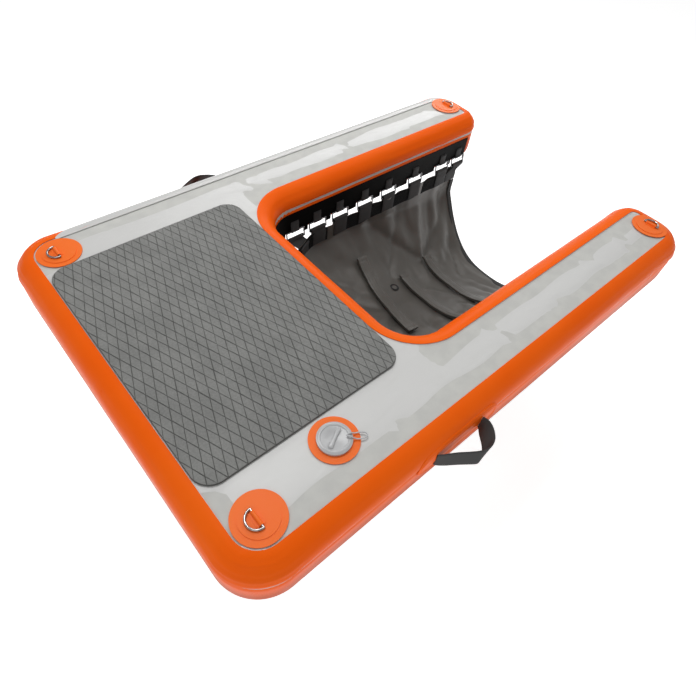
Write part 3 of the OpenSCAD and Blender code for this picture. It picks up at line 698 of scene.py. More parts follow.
@dataclass
class Wall:
    """The welded side wall with its overlap tape, creases and corner puckers."""

    tape: float = 0.0009
    pucker: float = 0.0024
    pucker_pitch: float = 0.0135
    step: float = 0.0068
    film: float = 0.0012

    def relief(self, run: float, down: float) -> float:
        """Height of the film above the plain wall."""
        plan, total = self.plan, self.plan.outline.length
        edge = plan.tape_at + 0.0006 * ripple(run * 14.0, 3.0)
        height = self.tape if down < edge else -0.0001
        height -= 0.0026 * math.exp(-(((down - edge - 0.004) / 0.0045) ** 2))
        line = down - 0.040 - 0.002 * ripple(run * 6.0, 2.0)
        seen = window(ripple(run * 2.3, 11.0), -0.05, 9.0, 0.2)
        height -= 0.0009 * math.exp(-((line / 0.0022) ** 2)) * seen
        height += 0.0006 * ripple(run * 9.0, down * 16.0) * window(down, 0.02, 0.095, 0.02)
        height += 0.0005 * ripple(run * 3.5, down * 60.0, 4.0) * window(down, 0.03, 0.09, 0.02)

        def away(at: float) -> float:
            """Distance from a place on the outline, the shorter way round."""
            return abs((run - at + total / 2) % total - total / 2)

        for at in plan.concave:
            share = window(away(at), -1.0, 0.055, 0.05) * window(down, 0.05, 0.082, 0.02)
            fold = math.sin(2 * math.pi * (run + 0.004 * ripple(run * 40.0, down * 25.0)) / self.pucker_pitch)
            height += self.pucker * share * (fold * 0.5 - 0.35) * (0.7 + 0.6 * ripple(run * 30.0, 7.0))
        for at in plan.convex:
            share = window(away(at), -1.0, 0.06, 0.07)
            rings = math.cos(2 * math.pi * (down + 0.0015 * ripple(run * 8.0, 1.0)) / 0.0125)
            height += 0.0011 * share * rings * window(down, 0.022, 0.066, 0.008)
        if down > plan.tape_at + 0.014:
            height = min(height, 0.0)
        return height

    def build(self) -> None:
        """Builds the wall round the whole outline."""
        self.plan = Plan()
        plan = self.plan
        edge = plan.tape_at
        rows = [*np.linspace(0.0, edge - 0.002, 15), edge - 0.0008, edge + 0.0002, edge + 0.0010,
                edge + 0.0022, *np.linspace(edge + 0.006, plan.girth, 20)]
        last = len(rows) - 1
        total = plan.outline.length

        def place(u: float, v: float) -> Vector:
            """A point of the wall."""
            down = float(rows[round(v * last)])
            return plan.skin(u * total, down, self.relief(u * total, down))

        piece = Bench.grid("side_wall", round(total / self.step), last, place, (total, plan.girth), True)
        Bench.flip(piece)
        Bench.modify(piece, "SOLIDIFY", thickness=self.film, offset=-1.0)
        Bench.smooth(piece, 55.0)
        Bench.fit(piece, Finish.ORANGE, "orange_pvc",
                  "outer_sidewall", "inner_sidewall", "outer_edge_tape", "inner_edge_tape")


@dataclass
class Deck:
    """The top skin: a taut sheet with shallow dimples and a few slack creases."""

    pitch: float = 0.016
    thick: float = 0.0012
    dimple: float = 0.0016
    creases: tuple[tuple[float, float, float, float], ...] = (
        (0.45, -0.36, 1.9, 0.16), (0.62, -0.41, 0.5, 0.12), (0.82, -0.33, 2.2, 0.12),
        (0.98, -0.37, 1.2, 0.11), (0.40, 0.33, 2.5, 0.13), (0.31, 0.36, 2.1, 0.10),
        (0.66, 0.40, 1.0, 0.13), (0.90, 0.34, 1.7, 0.12), (1.05, 0.38, 2.4, 0.09),
        (0.12, -0.42, 1.4, 0.09), (-0.02, 0.43, 0.3, 0.10), (1.09, -0.34, 2.6, 0.08),
    )

    def relief(self, plan: Plan, x: float, y: float) -> float:
        """Depth of the skin below its plane, falling off towards the rolled edge."""
        low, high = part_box("deck_pad")
        away = max(low.x - x, x - high.x, low.y - y, y - high.y)
        free = window(away, 0.012, 9.0, 0.02)
        rim = min(plan.side - plan.roll - abs(y), x - plan.back - plan.roll, plan.tip - plan.roll - x)
        if x > plan.gap:
            rim = min(rim, abs(y) - plan.gap_side - plan.roll)
        crown = 0.0042 * max(0.0, 1.0 - max(0.0, rim) / 0.062) ** 2 * free
        depth = -crown - self.dimple * free * (0.5 + 0.5 * ripple(x * 7.0, y * 7.0))
        for at_x, at_y, turn, reach in self.creases:
            along = (x - at_x) * math.cos(turn) + (y - at_y) * math.sin(turn)
            across = (y - at_y) * math.cos(turn) - (x - at_x) * math.sin(turn)
            across += 0.25 * along * along / reach
            line = math.exp(-((across / 0.006) ** 2)) - 0.5 * math.exp(-(((across - 0.012) / 0.01) ** 2))
            depth -= 0.0022 * free * line * math.exp(-((along / reach * 2.2) ** 2))
        return min(depth, 0.0)

    def build(self) -> None:
        """Cuts the sheet to the outline, then into a fine grid, and dents it."""
        plan = Plan()
        walk = plan.outline
        rim: list[Vector] = []
        for (run, _, _), leg in zip(walk.marks, walk.legs):
            count = 1 if isinstance(leg, float) else 12
            for i in range(count):
                point = plan.skin(run + walk.length_of(leg) * i / count, 0.0, 0.0)
                rim.append(Vector((point.x, point.y, plan.top - 0.0001)))
        Bench.clear()
        mesh = bpy.data.meshes.new("deck_skin")
        piece = bpy.data.objects.new("deck_skin", mesh)
        bpy.context.scene.collection.objects.link(piece)
        sheet = bmesh.new()
        sheet.faces.new([sheet.verts.new(p) for p in rim])
        spans = ((Vector((1, 0, 0)), plan.back, plan.tip), (Vector((0, 1, 0)), -plan.side, plan.side))
        for axis, low, high in spans:
            for i in range(1, round((high - low) / self.pitch)):
                bmesh.ops.bisect_plane(
                    sheet, geom=[*sheet.verts, *sheet.edges, *sheet.faces],
                    plane_co=axis * (low + i * self.pitch), plane_no=axis, dist=1e-6)
        for vertex in sheet.verts:
            vertex.co.z += self.relief(plan, vertex.co.x, vertex.co.y) if not vertex.is_boundary else -0.0009
        bmesh.ops.recalc_face_normals(sheet, faces=sheet.faces)
        if sum(f.normal.z for f in sheet.faces) < 0:
            bmesh.ops.reverse_faces(sheet, faces=sheet.faces)
        sheet.to_mesh(mesh)
        sheet.free()
        Bench.modify(piece, "SOLIDIFY", thickness=self.thick, offset=-1.0)
        piece = Bench.join("deck_skin", [piece, self.flap(plan)])
        Bench.smooth(piece, 50.0)
        Bench.fit(piece, Finish.DECK, "grey_pvc", "top_skin")

    def flap(self, plan: Plan) -> Piece:
        """The skin's lap down over the rolled edge of the far side and tip.

        Args:
            plan: the board's outline.

        Returns:
            The lap, closed and undressed.
        """
        begin, end = plan.outline.middle_of(12), plan.outline.marks[15][0] - 0.012
        reach = 0.047

        def place(u: float, v: float) -> Vector:
            """A point of the lap."""
            run = begin + (end - begin) * u
            ends = min(run - begin, end - run)
            deep = reach * math.sqrt(window(ends, 0.10, 9.0, 0.10))
            down = -0.005 + v * (deep + 0.0055)
            here = plan.skin(run, max(0.0, down), 0.0012 + 0.0004 * ripple(run * 12.0, down * 30.0))
            if down < 0.0:
                _, ahead = plan.outline.at(run)
                here += Vector((-ahead.y, ahead.x, 0.0)) * -down
                here.z -= 0.0007 * min(1.0, -down / 0.004)
            return here

        lap = Bench.grid("deck_lap", 220, 14, place, (end - begin, reach))
        Bench.flip(lap)
        Bench.modify(lap, "SOLIDIFY", thickness=0.0006, offset=-1.0)
        return lap


@dataclass
class TreadPad:
    """The foam tread: a base sheet darkened as painted shade for the grooves, and raised diamonds cut off at
    its rim.
    """

    corner: float = 0.040
    cell: tuple[float, float] = (0.0192, 0.050)
    painted_groove_shade: float = 0.0013
    raised: float = 0.0017
    bevel: float = 0.0005

    def trim(self, piece: Piece, draw_in: float) -> None:
        """Cuts a piece to the pad's rounded outline.

        Args:
            piece: the piece to cut.
            draw_in: how far inside the pad's edge the cut lies.
        """
        low, high = self.low, self.high
        cuts: list[tuple[Vector, Vector]] = []
        for sx, sy in ((1, 1), (1, -1), (-1, 1), (-1, -1)):
            centre = Vector((
                (high.x - self.corner) if sx > 0 else (low.x + self.corner),
                (high.y - self.corner) if sy > 0 else (low.y + self.corner), 0.0))
            for i in range(9):
                angle = math.pi / 2 * i / 8
                out = Vector((sx * math.cos(angle), sy * math.sin(angle), 0.0))
                cuts.append((centre + out * (self.corner - draw_in), out))
        body = bmesh.new()
        body.from_mesh(piece.data)
        for at, out in cuts:
            cut = bmesh.ops.bisect_plane(
                body, geom=[*body.verts, *body.edges, *body.faces], dist=1e-7,
                plane_co=at, plane_no=out, clear_outer=True)
            rims = [e for e in cut["geom_cut"] if isinstance(e, bmesh.types.BMEdge) and e.is_boundary]
            bmesh.ops.holes_fill(body, edges=rims, sides=0)
        bmesh.ops.recalc_face_normals(body, faces=body.faces)
        body.to_mesh(piece.data)
        body.free()

    def diamond(self) -> Piece:
        """One raised diamond with bevelled shoulders, centred in plan on the origin."""
        Bench.clear()
        bpy.ops.mesh.primitive_cylinder_add(vertices=4, radius=0.5, depth=1.0, location=(0.0, 0.0, 0.0))
        piece = bpy.context.object
        half_x = (self.cell[0] - self.painted_groove_shade) / 2
        half_y = (self.cell[1] - self.painted_groove_shade * self.cell[1] / self.cell[0]) / 2
        for vertex in piece.data.vertices:
            vertex.co = Vector((vertex.co.x * 2 * half_x, vertex.co.y * 2 * half_y, vertex.co.z))
            vertex.co.z = self.high.z if vertex.co.z > 0 else self.high.z - self.raised
        body = bmesh.new()
        body.from_mesh(piece.data)
        lid = [f for f in body.faces if f.normal.z > 0.9]
        bmesh.ops.inset_region(body, faces=lid, thickness=self.bevel * 1.2, depth=0.0)
        inner = {v for f in lid for v in f.verts}
        for vertex in body.verts:
            if vertex.co.z > self.high.z - 1e-6 and vertex not in inner:
                vertex.co.z -= self.bevel
        body.to_mesh(piece.data)
        body.free()
        return piece

    def build(self) -> None:
        """Builds the base and the tread."""
        self.low, self.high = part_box("deck_pad")
        low, high = self.low, self.high
        middle = (low + high) / 2
        Bench.clear()
        bpy.ops.mesh.primitive_cube_add(size=1.0, location=(0.0, 0.0, 0.0))
        base = bpy.context.object
        floor = high.z - self.raised + 0.0002
        for vertex in base.data.vertices:
            vertex.co = Vector((
                middle.x + vertex.co.x * (high.x - low.x),
                middle.y + vertex.co.y * (high.y - low.y),
                floor if vertex.co.z > 0 else low.z))
        base.name = base.data.name = "tread_base"
        self.trim(base, 0.0)
        Bench.modify(base, "BEVEL", width=0.0006, segments=2, limit_method="ANGLE")
        # The base sheet takes the dark finish as painted shade in the grooves.
        Bench.fit(base, Finish.PAINTED_GROOVE_SHADE, "eva_foam", "deck_pad")
        one = self.diamond()
        columns = math.ceil((high.x - low.x) / self.cell[0]) + 1
        rows = math.ceil((high.y - low.y) / self.cell[1]) + 1
        shape = bmesh.new()
        shape.from_mesh(one.data)
        tread = bmesh.new()
        for i in range(2 * columns):
            for j in range(rows):
                at = Vector((low.x + i * self.cell[0] / 2, low.y + (j + (i % 2) / 2) * self.cell[1], 0.0))
                if at.x - high.x > self.cell[0] or at.y - high.y > self.cell[1]:
                    continue
                tilt_x = 0.075 * ripple(at.x * 210.0, at.y * 170.0)
                tilt = Vector((tilt_x, 0.02 * ripple(at.x * 170.0, at.y * 230.0, 5.0), 0.0))
                sway = 0.0016 * ripple(at.x * 60.0, at.y * 45.0, 9.0)
                copy = {}
                for v in shape.verts:
                    lean = tilt.dot(v.co) - 0.0004 if v.co.z > self.high.z - self.raised / 2 else 0.0
                    bend = sway * (1.0 - (v.co.y / self.cell[1] * 2) ** 2)
                    copy[v] = tread.verts.new(v.co + at + Vector((bend, 0.0, min(lean, 0.0003))))
                for face in shape.faces:
                    tread.faces.new([copy[v] for v in face.verts])
        shape.free()
        tread.to_mesh(one.data)
        tread.free()
        one.name = one.data.name = "tread_diamonds"
        one.data.update()
        self.trim(one, 0.0012)
        Bench.fit(one, Finish.FOAM, "eva_foam")


@dataclass
class Cap:
    """The valve's cap: a turned disc with a plain grip bar."""

    thick: float = 0.0058
    ribs: int = 40
    grip_turn: float = math.radians(28)
    tether_turn: float = math.radians(-30)

    def about(self, x: float, y: float, z: float, turn: float) -> Vector:
        """A point off the cap's middle, turned about the cap's axis."""
        return Vector((
            self.middle.x + x * math.cos(turn) - y * math.sin(turn),
            self.middle.y + x * math.sin(turn) + y * math.cos(turn), z))

    def disc(self) -> Piece:
        """The disc: its rim raised, its face stepped in twice, its edge ribbed."""
        low, high = self.low, self.high
        radius = (high.x - low.x) / 2
        Bench.clear()
        bpy.ops.mesh.primitive_cylinder_add(
            vertices=160, radius=radius, depth=self.thick, location=(0.0, 0.0, 0.0))
        piece = bpy.context.object
        body = bmesh.new()
        body.from_mesh(piece.data)
        lid = [f for f in body.faces if f.normal.z > 0.9]
        steps = ((0.0022, 0.0), (0.0012, 0.0008), (0.0035, 0.0002),
                 (0.0012, -0.0012), (0.0100, 0.0), (0.0008, -0.0003))
        for inset, sink in steps:
            bmesh.ops.inset_region(body, faces=lid, thickness=inset, depth=sink)
        for vertex in body.verts:
            reach = math.hypot(vertex.co.x, vertex.co.y)
            if reach > radius - 0.0004 and vertex.co.z < 0:
                angle = math.atan2(vertex.co.y, vertex.co.x)
                slim = 0.0005 * (0.5 + 0.5 * math.cos(self.ribs * angle))
                vertex.co.x *= 1 - slim / radius
                vertex.co.y *= 1 - slim / radius
        body.to_mesh(piece.data)
        body.free()
        for vertex in piece.data.vertices:
            vertex.co += Vector((self.middle.x, self.middle.y, high.z - 0.0030 - self.thick / 2))
        Bench.modify(piece, "BEVEL", width=0.0006, segments=3, limit_method="ANGLE",
                     angle_limit=math.radians(35))
        return piece

    def grip(self) -> Piece:
        """The grip: a waisted bar with round ends, swept up from the face."""
        along, across = 44, 10
        length, width, rise = 0.046, 0.013, 0.0036

        def place(u: float, v: float) -> Vector:
            """A point of the grip's shell."""
            x = (u - 0.5) * length
            end = math.sqrt(max(0.0, 1.0 - (2 * abs(u - 0.5)) ** 8))
            waist = 0.62 + 0.38 * (2 * (u - 0.5)) ** 2
            angle = math.pi * v
            y = -math.cos(angle) * width / 2 * waist * end
            z = math.sin(angle) ** 0.55 * rise * (0.25 + 0.75 * end)
            return self.about(x, y, self.high.z - 0.0034 + z, self.grip_turn)

        piece = Bench.grid("cap_grip", along, across, place, (length, width))
        Bench.modify(piece, "SOLIDIFY", thickness=0.0008, offset=-1.0)
        return piece

    def tether(self) -> Piece:
        """The tether: a long thin loop lying from the cap's rim to the deck."""
        long, wide, wire, lead = 0.019, 0.0062, 0.0013, 0.041

        def centre(share: float) -> Vector:
            """A point of the loop's middle line."""
            angle = 2 * math.pi * share
            x = lead + long * math.cos(angle)
            y = wide * math.sin(angle) * (1.0 + 0.35 * math.cos(angle))
            z = self.high.z + 0.0018 - 0.0072 * window(x, 0.040, 9.0, 0.014)
            return self.about(x, y, z, self.tether_turn)

        def place(u: float, v: float) -> Vector:
            """A point of the tube."""
            here, ahead = centre(u), (centre(u + 0.002) - centre(u - 0.002)).normalized()
            side = ahead.cross(UP).normalized()
            up = side.cross(ahead)
            angle = 2 * math.pi * v
            return here + (side * math.cos(angle) + up * math.sin(angle)) * wire

        piece = Bench.grid("cap_tether_loop", 96, 12, place, (0.09, 0.008), True)
        Bench.weld(piece, 1e-6)
        Bench.face_out(piece)
        Bench.smooth(piece, 60.0)
        return Bench.fit(piece, Finish.TETHER, "tether_rubber", "cap_tether")

    def build(self) -> None:
        """Builds the cap and its tether."""
        self.low, self.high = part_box("valve_cap")
        self.middle = (self.low + self.high) / 2
        piece = Bench.join("cap_disc", [self.disc(), self.grip()])
        Bench.face_out(piece)
        Bench.smooth(piece, 35.0)
        Bench.fit(piece, Finish.VALVE, "valve_plastic", "valve_cap", body=Body.CAP)
        self.tether()


# ---- webbing ---------------------------------------------------------------


class Ribbon:
    """A flat strap swept along stations, each a point and a half-width."""

    def __init__(self, stations: Sequence[Station], steps: int) -> None:
        """Smooths the stations into an even run of steps."""
        rows = np.array([[*p, *w] for p, w in stations], float)
        lead = 2 * rows[0] - rows[1]
        tail = 2 * rows[-1] - rows[-2]
        rows = np.vstack([lead, rows, tail])
        fine: list[np.ndarray] = []
        for i in range(1, len(rows) - 2):
            a, b, c, d = rows[i - 1 : i + 3]
            for t in np.linspace(0, 1, 16, endpoint=False):
                fine.append(0.5 * (2 * b + (c - a) * t + (2 * a - 5 * b + 4 * c - d) * t**2
                                   + (3 * b - a - 3 * c + d) * t**3))
        fine.append(rows[-2])
        line = np.array(fine)
        run = np.concatenate([[0.0], np.cumsum(np.linalg.norm(np.diff(line[:, :3], axis=0), axis=1))])
        even = np.linspace(0.0, run[-1], steps + 1)
        self.rows = np.array([np.interp(even, run, line[:, k]) for k in range(6)]).T
        self.length = float(run[-1])
        self.steps = steps

    def build(self, name: str, width: float, thick: float, across: int = 4) -> Piece:
        """Makes the strap.

        Args:
            name: the piece's name.
            width: the strap's width, to which every half-width is brought.
            thick: its thickness.
            across: faces over its width.

        Returns:
            The piece, not yet dressed.
        """
        rows, last = self.rows, self.steps

        def place(u: float, v: float) -> Vector:
            """A point of the strap's middle surface."""
            row = rows[round(u * last)]
            half = Vector(row[3:]).normalized() * width / 2
            return Vector(row[:3]) + half * (2 * v - 1)

        piece = Bench.grid(name, last, across, place, (self.length, width))
        Bench.modify(piece, "SOLIDIFY", thickness=thick, offset=0.0)
        Bench.modify(piece, "BEVEL", width=thick * 0.28, segments=2, limit_method="ANGLE",
                     angle_limit=math.radians(50))
        Bench.smooth(piece, 50.0)
        LOG.info("%s: %.4f m of webbing, %.3f m wide", name, self.length, width)
        return piece


@dataclass
class Handles:
    """The two carry handles, each one loop of webbing out of a welded patch."""

    width: float = 0.037
    thick: float = 0.0028
    patch_half: float = 0.116
    patch_rise: float = 0.0016
    patch_film: float = 0.0012

    def patch(self, side: Side) -> None:
        """The long patch with two raised weld lines round it.

        Args:
            side: the arm it lies on.
        """
        plan = Plan()
        name = side.name.lower()
        low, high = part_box(f"handle_patch_{name}")
        centre = (low.x + high.x) / 2
        walk = plan.outline
        if side is Side.NEAR:
            at = walk.marks[2][0] + centre - (plan.back + plan.back_r)
        else:
            at = walk.marks[14][0] + (plan.tip - plan.tip_r) - centre
        top_down = plan.tape_at - 0.024
        foot_down = plan.quarter + (plan.top - plan.roll - low.z)
        middle, half = (top_down + foot_down) / 2, (foot_down - top_down) / 2

        def place(u: float, v: float) -> Vector:
            """A point of the patch."""
            x = (2 * u - 1) * self.patch_half
            past = max(0.0, (abs(x) - self.patch_half + half) / half)
            reach = half * math.sqrt(max(0.0, 1.0 - past * past))
            down = middle + (2 * v - 1) * reach
            edge = min(reach - abs(down - middle), (self.patch_half - abs(x)) * 1.2)
            lift = self.patch_rise * min(1.0, edge / 0.0012 + 0.15)
            for line, tall in ((0.0075, 0.0011), (0.0125, 0.0009)):
                lift += tall * math.exp(-(((edge - line) / 0.0013) ** 2))
            ridge = math.exp(-(((down - middle - 0.001) / 0.007) ** 2))
            lift += 0.0012 * ridge * window(abs(x), -1.0, 0.075, 0.02)
            lift += 0.0004 * ripple(x * 30.0, down * 60.0, side.value)
            return plan.skin(at + x, down, 0.0006 + lift)

        piece = Bench.grid(f"handle_patch_skin_{name}", 150, 44, place, (2 * self.patch_half, 2 * half))
        Bench.flip(piece)
        Bench.modify(piece, "SOLIDIFY", thickness=self.patch_film, offset=-1.0)
        Bench.smooth(piece, 60.0)
        Bench.fit(piece, Finish.ORANGE, "orange_pvc", f"handle_patch_{name}")

    def loop(self, side: Side) -> None:
        """The loop: upright at both ends, one strand lying flatter, a crease at the turn.

        Args:
            side: the arm it hangs on.
        """
        name = side.name.lower()
        s = float(side.value)
        first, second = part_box(f"handle_anchor_{name}"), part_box(f"handle_{name}")
        x0, x1 = first[0].x, first[1].x
        z = (first[0].z + first[1].z) / 2
        wall = min(abs(first[0].y), abs(first[1].y)) + 0.0005
        reach = max(abs(second[0].y), abs(second[1].y))
        span = x1 - x0

        def station(share: float, out: float, rise: float, lean: float, twist: float) -> Station:
            """A station at a share of the span, out from the wall, with its tilt."""
            half = Vector((twist, s * lean, math.sqrt(max(0.0, 1 - lean * lean - twist * twist))))
            return Vector((x0 + span * share, s * (wall + out * (reach - wall)), z + rise)), half

        stations = [
            station(0.010, 0.00, 0.000, 0.00, 0.00), station(0.045, 0.10, 0.000, -0.08, 0.00),
            station(0.130, 0.28, 0.000, -0.16, 0.00), station(0.260, 0.52, -0.001, -0.22, 0.00),
            station(0.400, 0.80, -0.003, -0.22, 0.04), station(0.510, 1.00, -0.005, -0.18, 0.16),
            station(0.585, 1.08, -0.005, -0.06, 0.40), station(0.665, 1.05, -0.002, 0.02, 0.68),
            station(0.760, 0.90, 0.001, 0.02, 0.84), station(0.840, 0.64, 0.002, 0.00, 0.80),
            station(0.900, 0.34, 0.002, 0.00, 0.52), station(0.935, 0.12, 0.001, 0.00, 0.16),
            station(0.945, 0.00, 0.000, 0.00, 0.02),
        ]
        piece = Ribbon(stations, 96).build(f"handle_webbing_{name}", self.width, self.thick, 6)
        piece.data.materials.append(Finish.STRAP.material())
        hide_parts(f"handle_anchor_{name}", f"handle_{name}")
        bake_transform(piece)

    def build(self) -> None:
        """Builds both handles."""
        for side in Side:
            self.patch(side)
            self.loop(side)


# ---- sling -----------------------------------------------------------------


@dataclass
class HemLine:
    """The line that the hem follows, and the cloth's depth below it."""

    corner: float = 0.174
    front: float = 0.318
    rear: float = 0.150
    spine_run: float = 0.085
    foot_drop: float = 0.054
    tip_back: float = 0.012
    fullness: float = 2.6
    turn_at: float = 0.16
    thick: float = 0.0024
    floor_inset: float = 0.0026

    def __post_init__(self) -> None:
        """Reads the hem's limits from the frame."""
        low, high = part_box("sling_hem")
        self.x, self.side, self.top, self.low = low.x, high.y, high.z, low.z
        self.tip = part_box("sling_fabric")[1].x - self.tip_back
        self.cx, self.cy = self.x + self.corner, self.side - self.corner
        self.arm = self.tip - self.cx
        self.arc = self.corner * math.pi / 2
        self.half = self.arm + self.arc + self.cy
        self.walk = Walk(
            Vector((self.tip, -self.side, 0.0)), math.pi,
            [self.arm, (self.corner, -1), 2 * self.cy, (self.corner, -1), self.arm])

    def spine(self, x: float) -> float:
        """Depth of the cloth along the middle."""
        if x >= self.cx:
            return -self.rear - (self.front - self.rear) * (x - self.cx) / self.arm
        return -self.rear + 0.6 * (self.cx - x)

    def foot(self, x: float) -> float:
        """Height where the cloth turns inwards."""
        return self.top - self.foot_drop - 0.05 * max(0.0, (x - self.cx) / self.arm)

    def past_turn(self, down: float) -> float:
        """Share of the way from where the cloth turns inwards to the middle."""
        return max(0.0, (down - self.turn_at) / (1.0 - self.turn_at))

    def cloth(self, run: float, down: float, inner: float) -> Vector:
        """A point of the plain cloth.

        Args:
            run: distance along the hem line from its near tip.
            down: 0 at the hem to 1 at the middle.
            inner: how far inside the hem line the cloth starts.

        Returns:
            The point.
        """
        point, ahead = self.walk.at(run)
        inward = right_of(ahead)
        half_run = min(run, 2 * self.half - run)
        share = max(0.0, (half_run - self.arm) / (self.arc + self.cy))
        start = point + inward * inner
        spine_x = start.x if share == 0.0 else self.cx - self.spine_run * share
        foot, deep = self.foot(point.x), self.spine(spine_x)
        if down <= self.turn_at:
            start.z = self.top - 0.003 + (foot - self.top + 0.003) * down / self.turn_at
            return start
        t = self.past_turn(down)
        sag = 1.0 - (1.0 - t) ** self.fullness
        end = Vector((spine_x, 0.0, 0.0))
        place = start.lerp(end, t)
        place.z = foot + (deep - foot) * sag
        return place

    def floor(self, x: float, y: float) -> float:
        """Height of the plain cloth at a point over its straight part."""
        width = self.side - self.floor_inset
        t = min(1.0, max(0.0, (width - abs(y)) / width))
        foot = self.foot(x)
        return foot + (self.spine(x) - foot) * (1.0 - (1.0 - t) ** self.fullness)


@dataclass
class Hangers:
    """Webbing tabs on the band and straps on the hem, each round its ring."""

    nodes: dict[str, Piece]
    tab_w: float = 0.026
    strap_w: float = 0.050
    ply: float = 0.0014
    seat: float = 0.0018
    searches: int = 400

    def rings(self) -> list[tuple[Vector, Vector, Vector, str]]:
        """Finds each ring: its middle, its lowest and highest corner and its node."""
        found: list[tuple[Vector, Vector, Vector, str]] = []
        for name in ("hanger_rings_near", "hanger_rings_far", "hanger_rings_back"):
            mesh = self.nodes[name].data
            body = bmesh.new()
            body.from_mesh(mesh)
            bmesh.ops.remove_doubles(body, verts=body.verts, dist=1e-6)
            left = set(body.verts)
            for seed in body.verts:
                if seed not in left:
                    continue
                left.remove(seed)
                stack, island = [seed], []
                while stack:
                    vertex = stack.pop()
                    island.append(vertex.co.copy())
                    for edge in vertex.link_edges:
                        other = edge.other_vert(vertex)
                        if other in left:
                            left.remove(other)
                            stack.append(other)
                low = Vector([min(c[k] for c in island) for k in range(3)])
                high = Vector([max(c[k] for c in island) for k in range(3)])
                found.append(((low + high) / 2, low, high, name))
            body.free()
        return found

    def build(self) -> None:
        """Builds tabs and straps on the three walls."""
        hem = HemLine()
        tabs: dict[str, list[Piece]] = {}
        straps: dict[str, list[Piece]] = {}
        for middle, low, high, name in self.rings():
            group = name.rsplit("_", 1)[1]
            if group == "back":
                out, along = Vector((1.0, 0.0, 0.0)), Vector((0.0, 1.0, 0.0))
                wall = low.x - self.seat
                face = Vector((wall, middle.y, 0.0))
            else:
                sign = -1.0 if group == "near" else 1.0
                out, along = Vector((0.0, -sign, 0.0)), Vector((1.0, 0.0, 0.0))
                wall = (low.y - self.seat) if group == "near" else (high.y + self.seat)
                face = Vector((middle.x, wall, 0.0))
            top_z, bar_z = high.z - 0.002, low.z + 0.002
            depth = (high - low).dot(Vector((abs(out.x), abs(out.y), 0.0)))

            def at(v: float, z: float) -> Vector:
                """A point at a depth off the band's face and a height."""
                return face + out * v + UP * z

            tab = [
                at(0.0008, top_z + 0.030), at(0.0008, top_z + 0.014), at(0.0008, top_z + 0.002),
                at(0.0020, top_z - 0.0024), at(0.0040, top_z - 0.0030), at(0.0064, top_z - 0.0012),
                at(0.0066, top_z + 0.0014), at(0.0050, top_z + 0.0038), at(0.0030, top_z + 0.0075),
                at(0.0024, top_z + 0.014), at(0.0023, top_z + 0.028),
            ]
            tabs.setdefault(group, []).append(
                Ribbon([(p, along) for p in tab], 30).build("tab", self.tab_w, self.ply, 2))
            bar = at(self.seat + depth - 0.002, bar_z)
            run, best = 0.0, 9.0
            for i in range(self.searches + 1):
                place = hem.walk.length * i / self.searches
                point, _ = hem.walk.at(place)
                gap = (Vector((bar.x, bar.y, 0.0)) - point).length
                if gap < best:
                    run, best = place, gap
            end = self.strap_w / 2 - 0.001
            run = min(max(run, end), hem.walk.length - end)
            point, ahead = hem.walk.at(run)
            inward = right_of(ahead)
            if ahead.dot(along) < 0:
                ahead = -ahead

            def tail(off: float, z: float) -> Vector:
                """A point on one face of the hem."""
                return point + inward * off + UP * z

            outer, inner = -0.0040, hem.thick + 0.0019
            foot = hem.low + 0.004
            mid = (ahead + along).normalized()
            strap = [
                (tail(outer, foot), ahead), (tail(outer, foot + 0.02), ahead),
                (tail(outer, hem.top - 0.010), ahead),
                (bar - out * 0.0036 - UP * 0.0030, mid), (bar - out * 0.0046 + UP * 0.0022, along),
                (bar - out * 0.0028 + UP * 0.0072, along), (bar + UP * 0.0088, along),
                (bar + out * 0.0028 + UP * 0.0072, along), (bar + out * 0.0050 + UP * 0.0022, along),
                (bar + out * 0.0042 - UP * 0.0035, mid), (tail(inner, hem.top - 0.012), ahead),
                (tail(inner, foot + 0.02), ahead), (tail(inner, foot), ahead),
            ]
            straps.setdefault(group, []).append(
                Ribbon(strap, 44).build("strap", self.strap_w, self.ply, 4))
        for group in tabs:
            piece = Bench.join(f"tabs_{group}", tabs[group])
            Bench.fit(piece, Finish.STRAP, "black_webbing", f"hanger_tabs_{group}")
            piece = Bench.join(f"straps_{group}", straps[group])
            Bench.fit(piece, Finish.STRAP, "black_webbing", f"sling_straps_{group}")


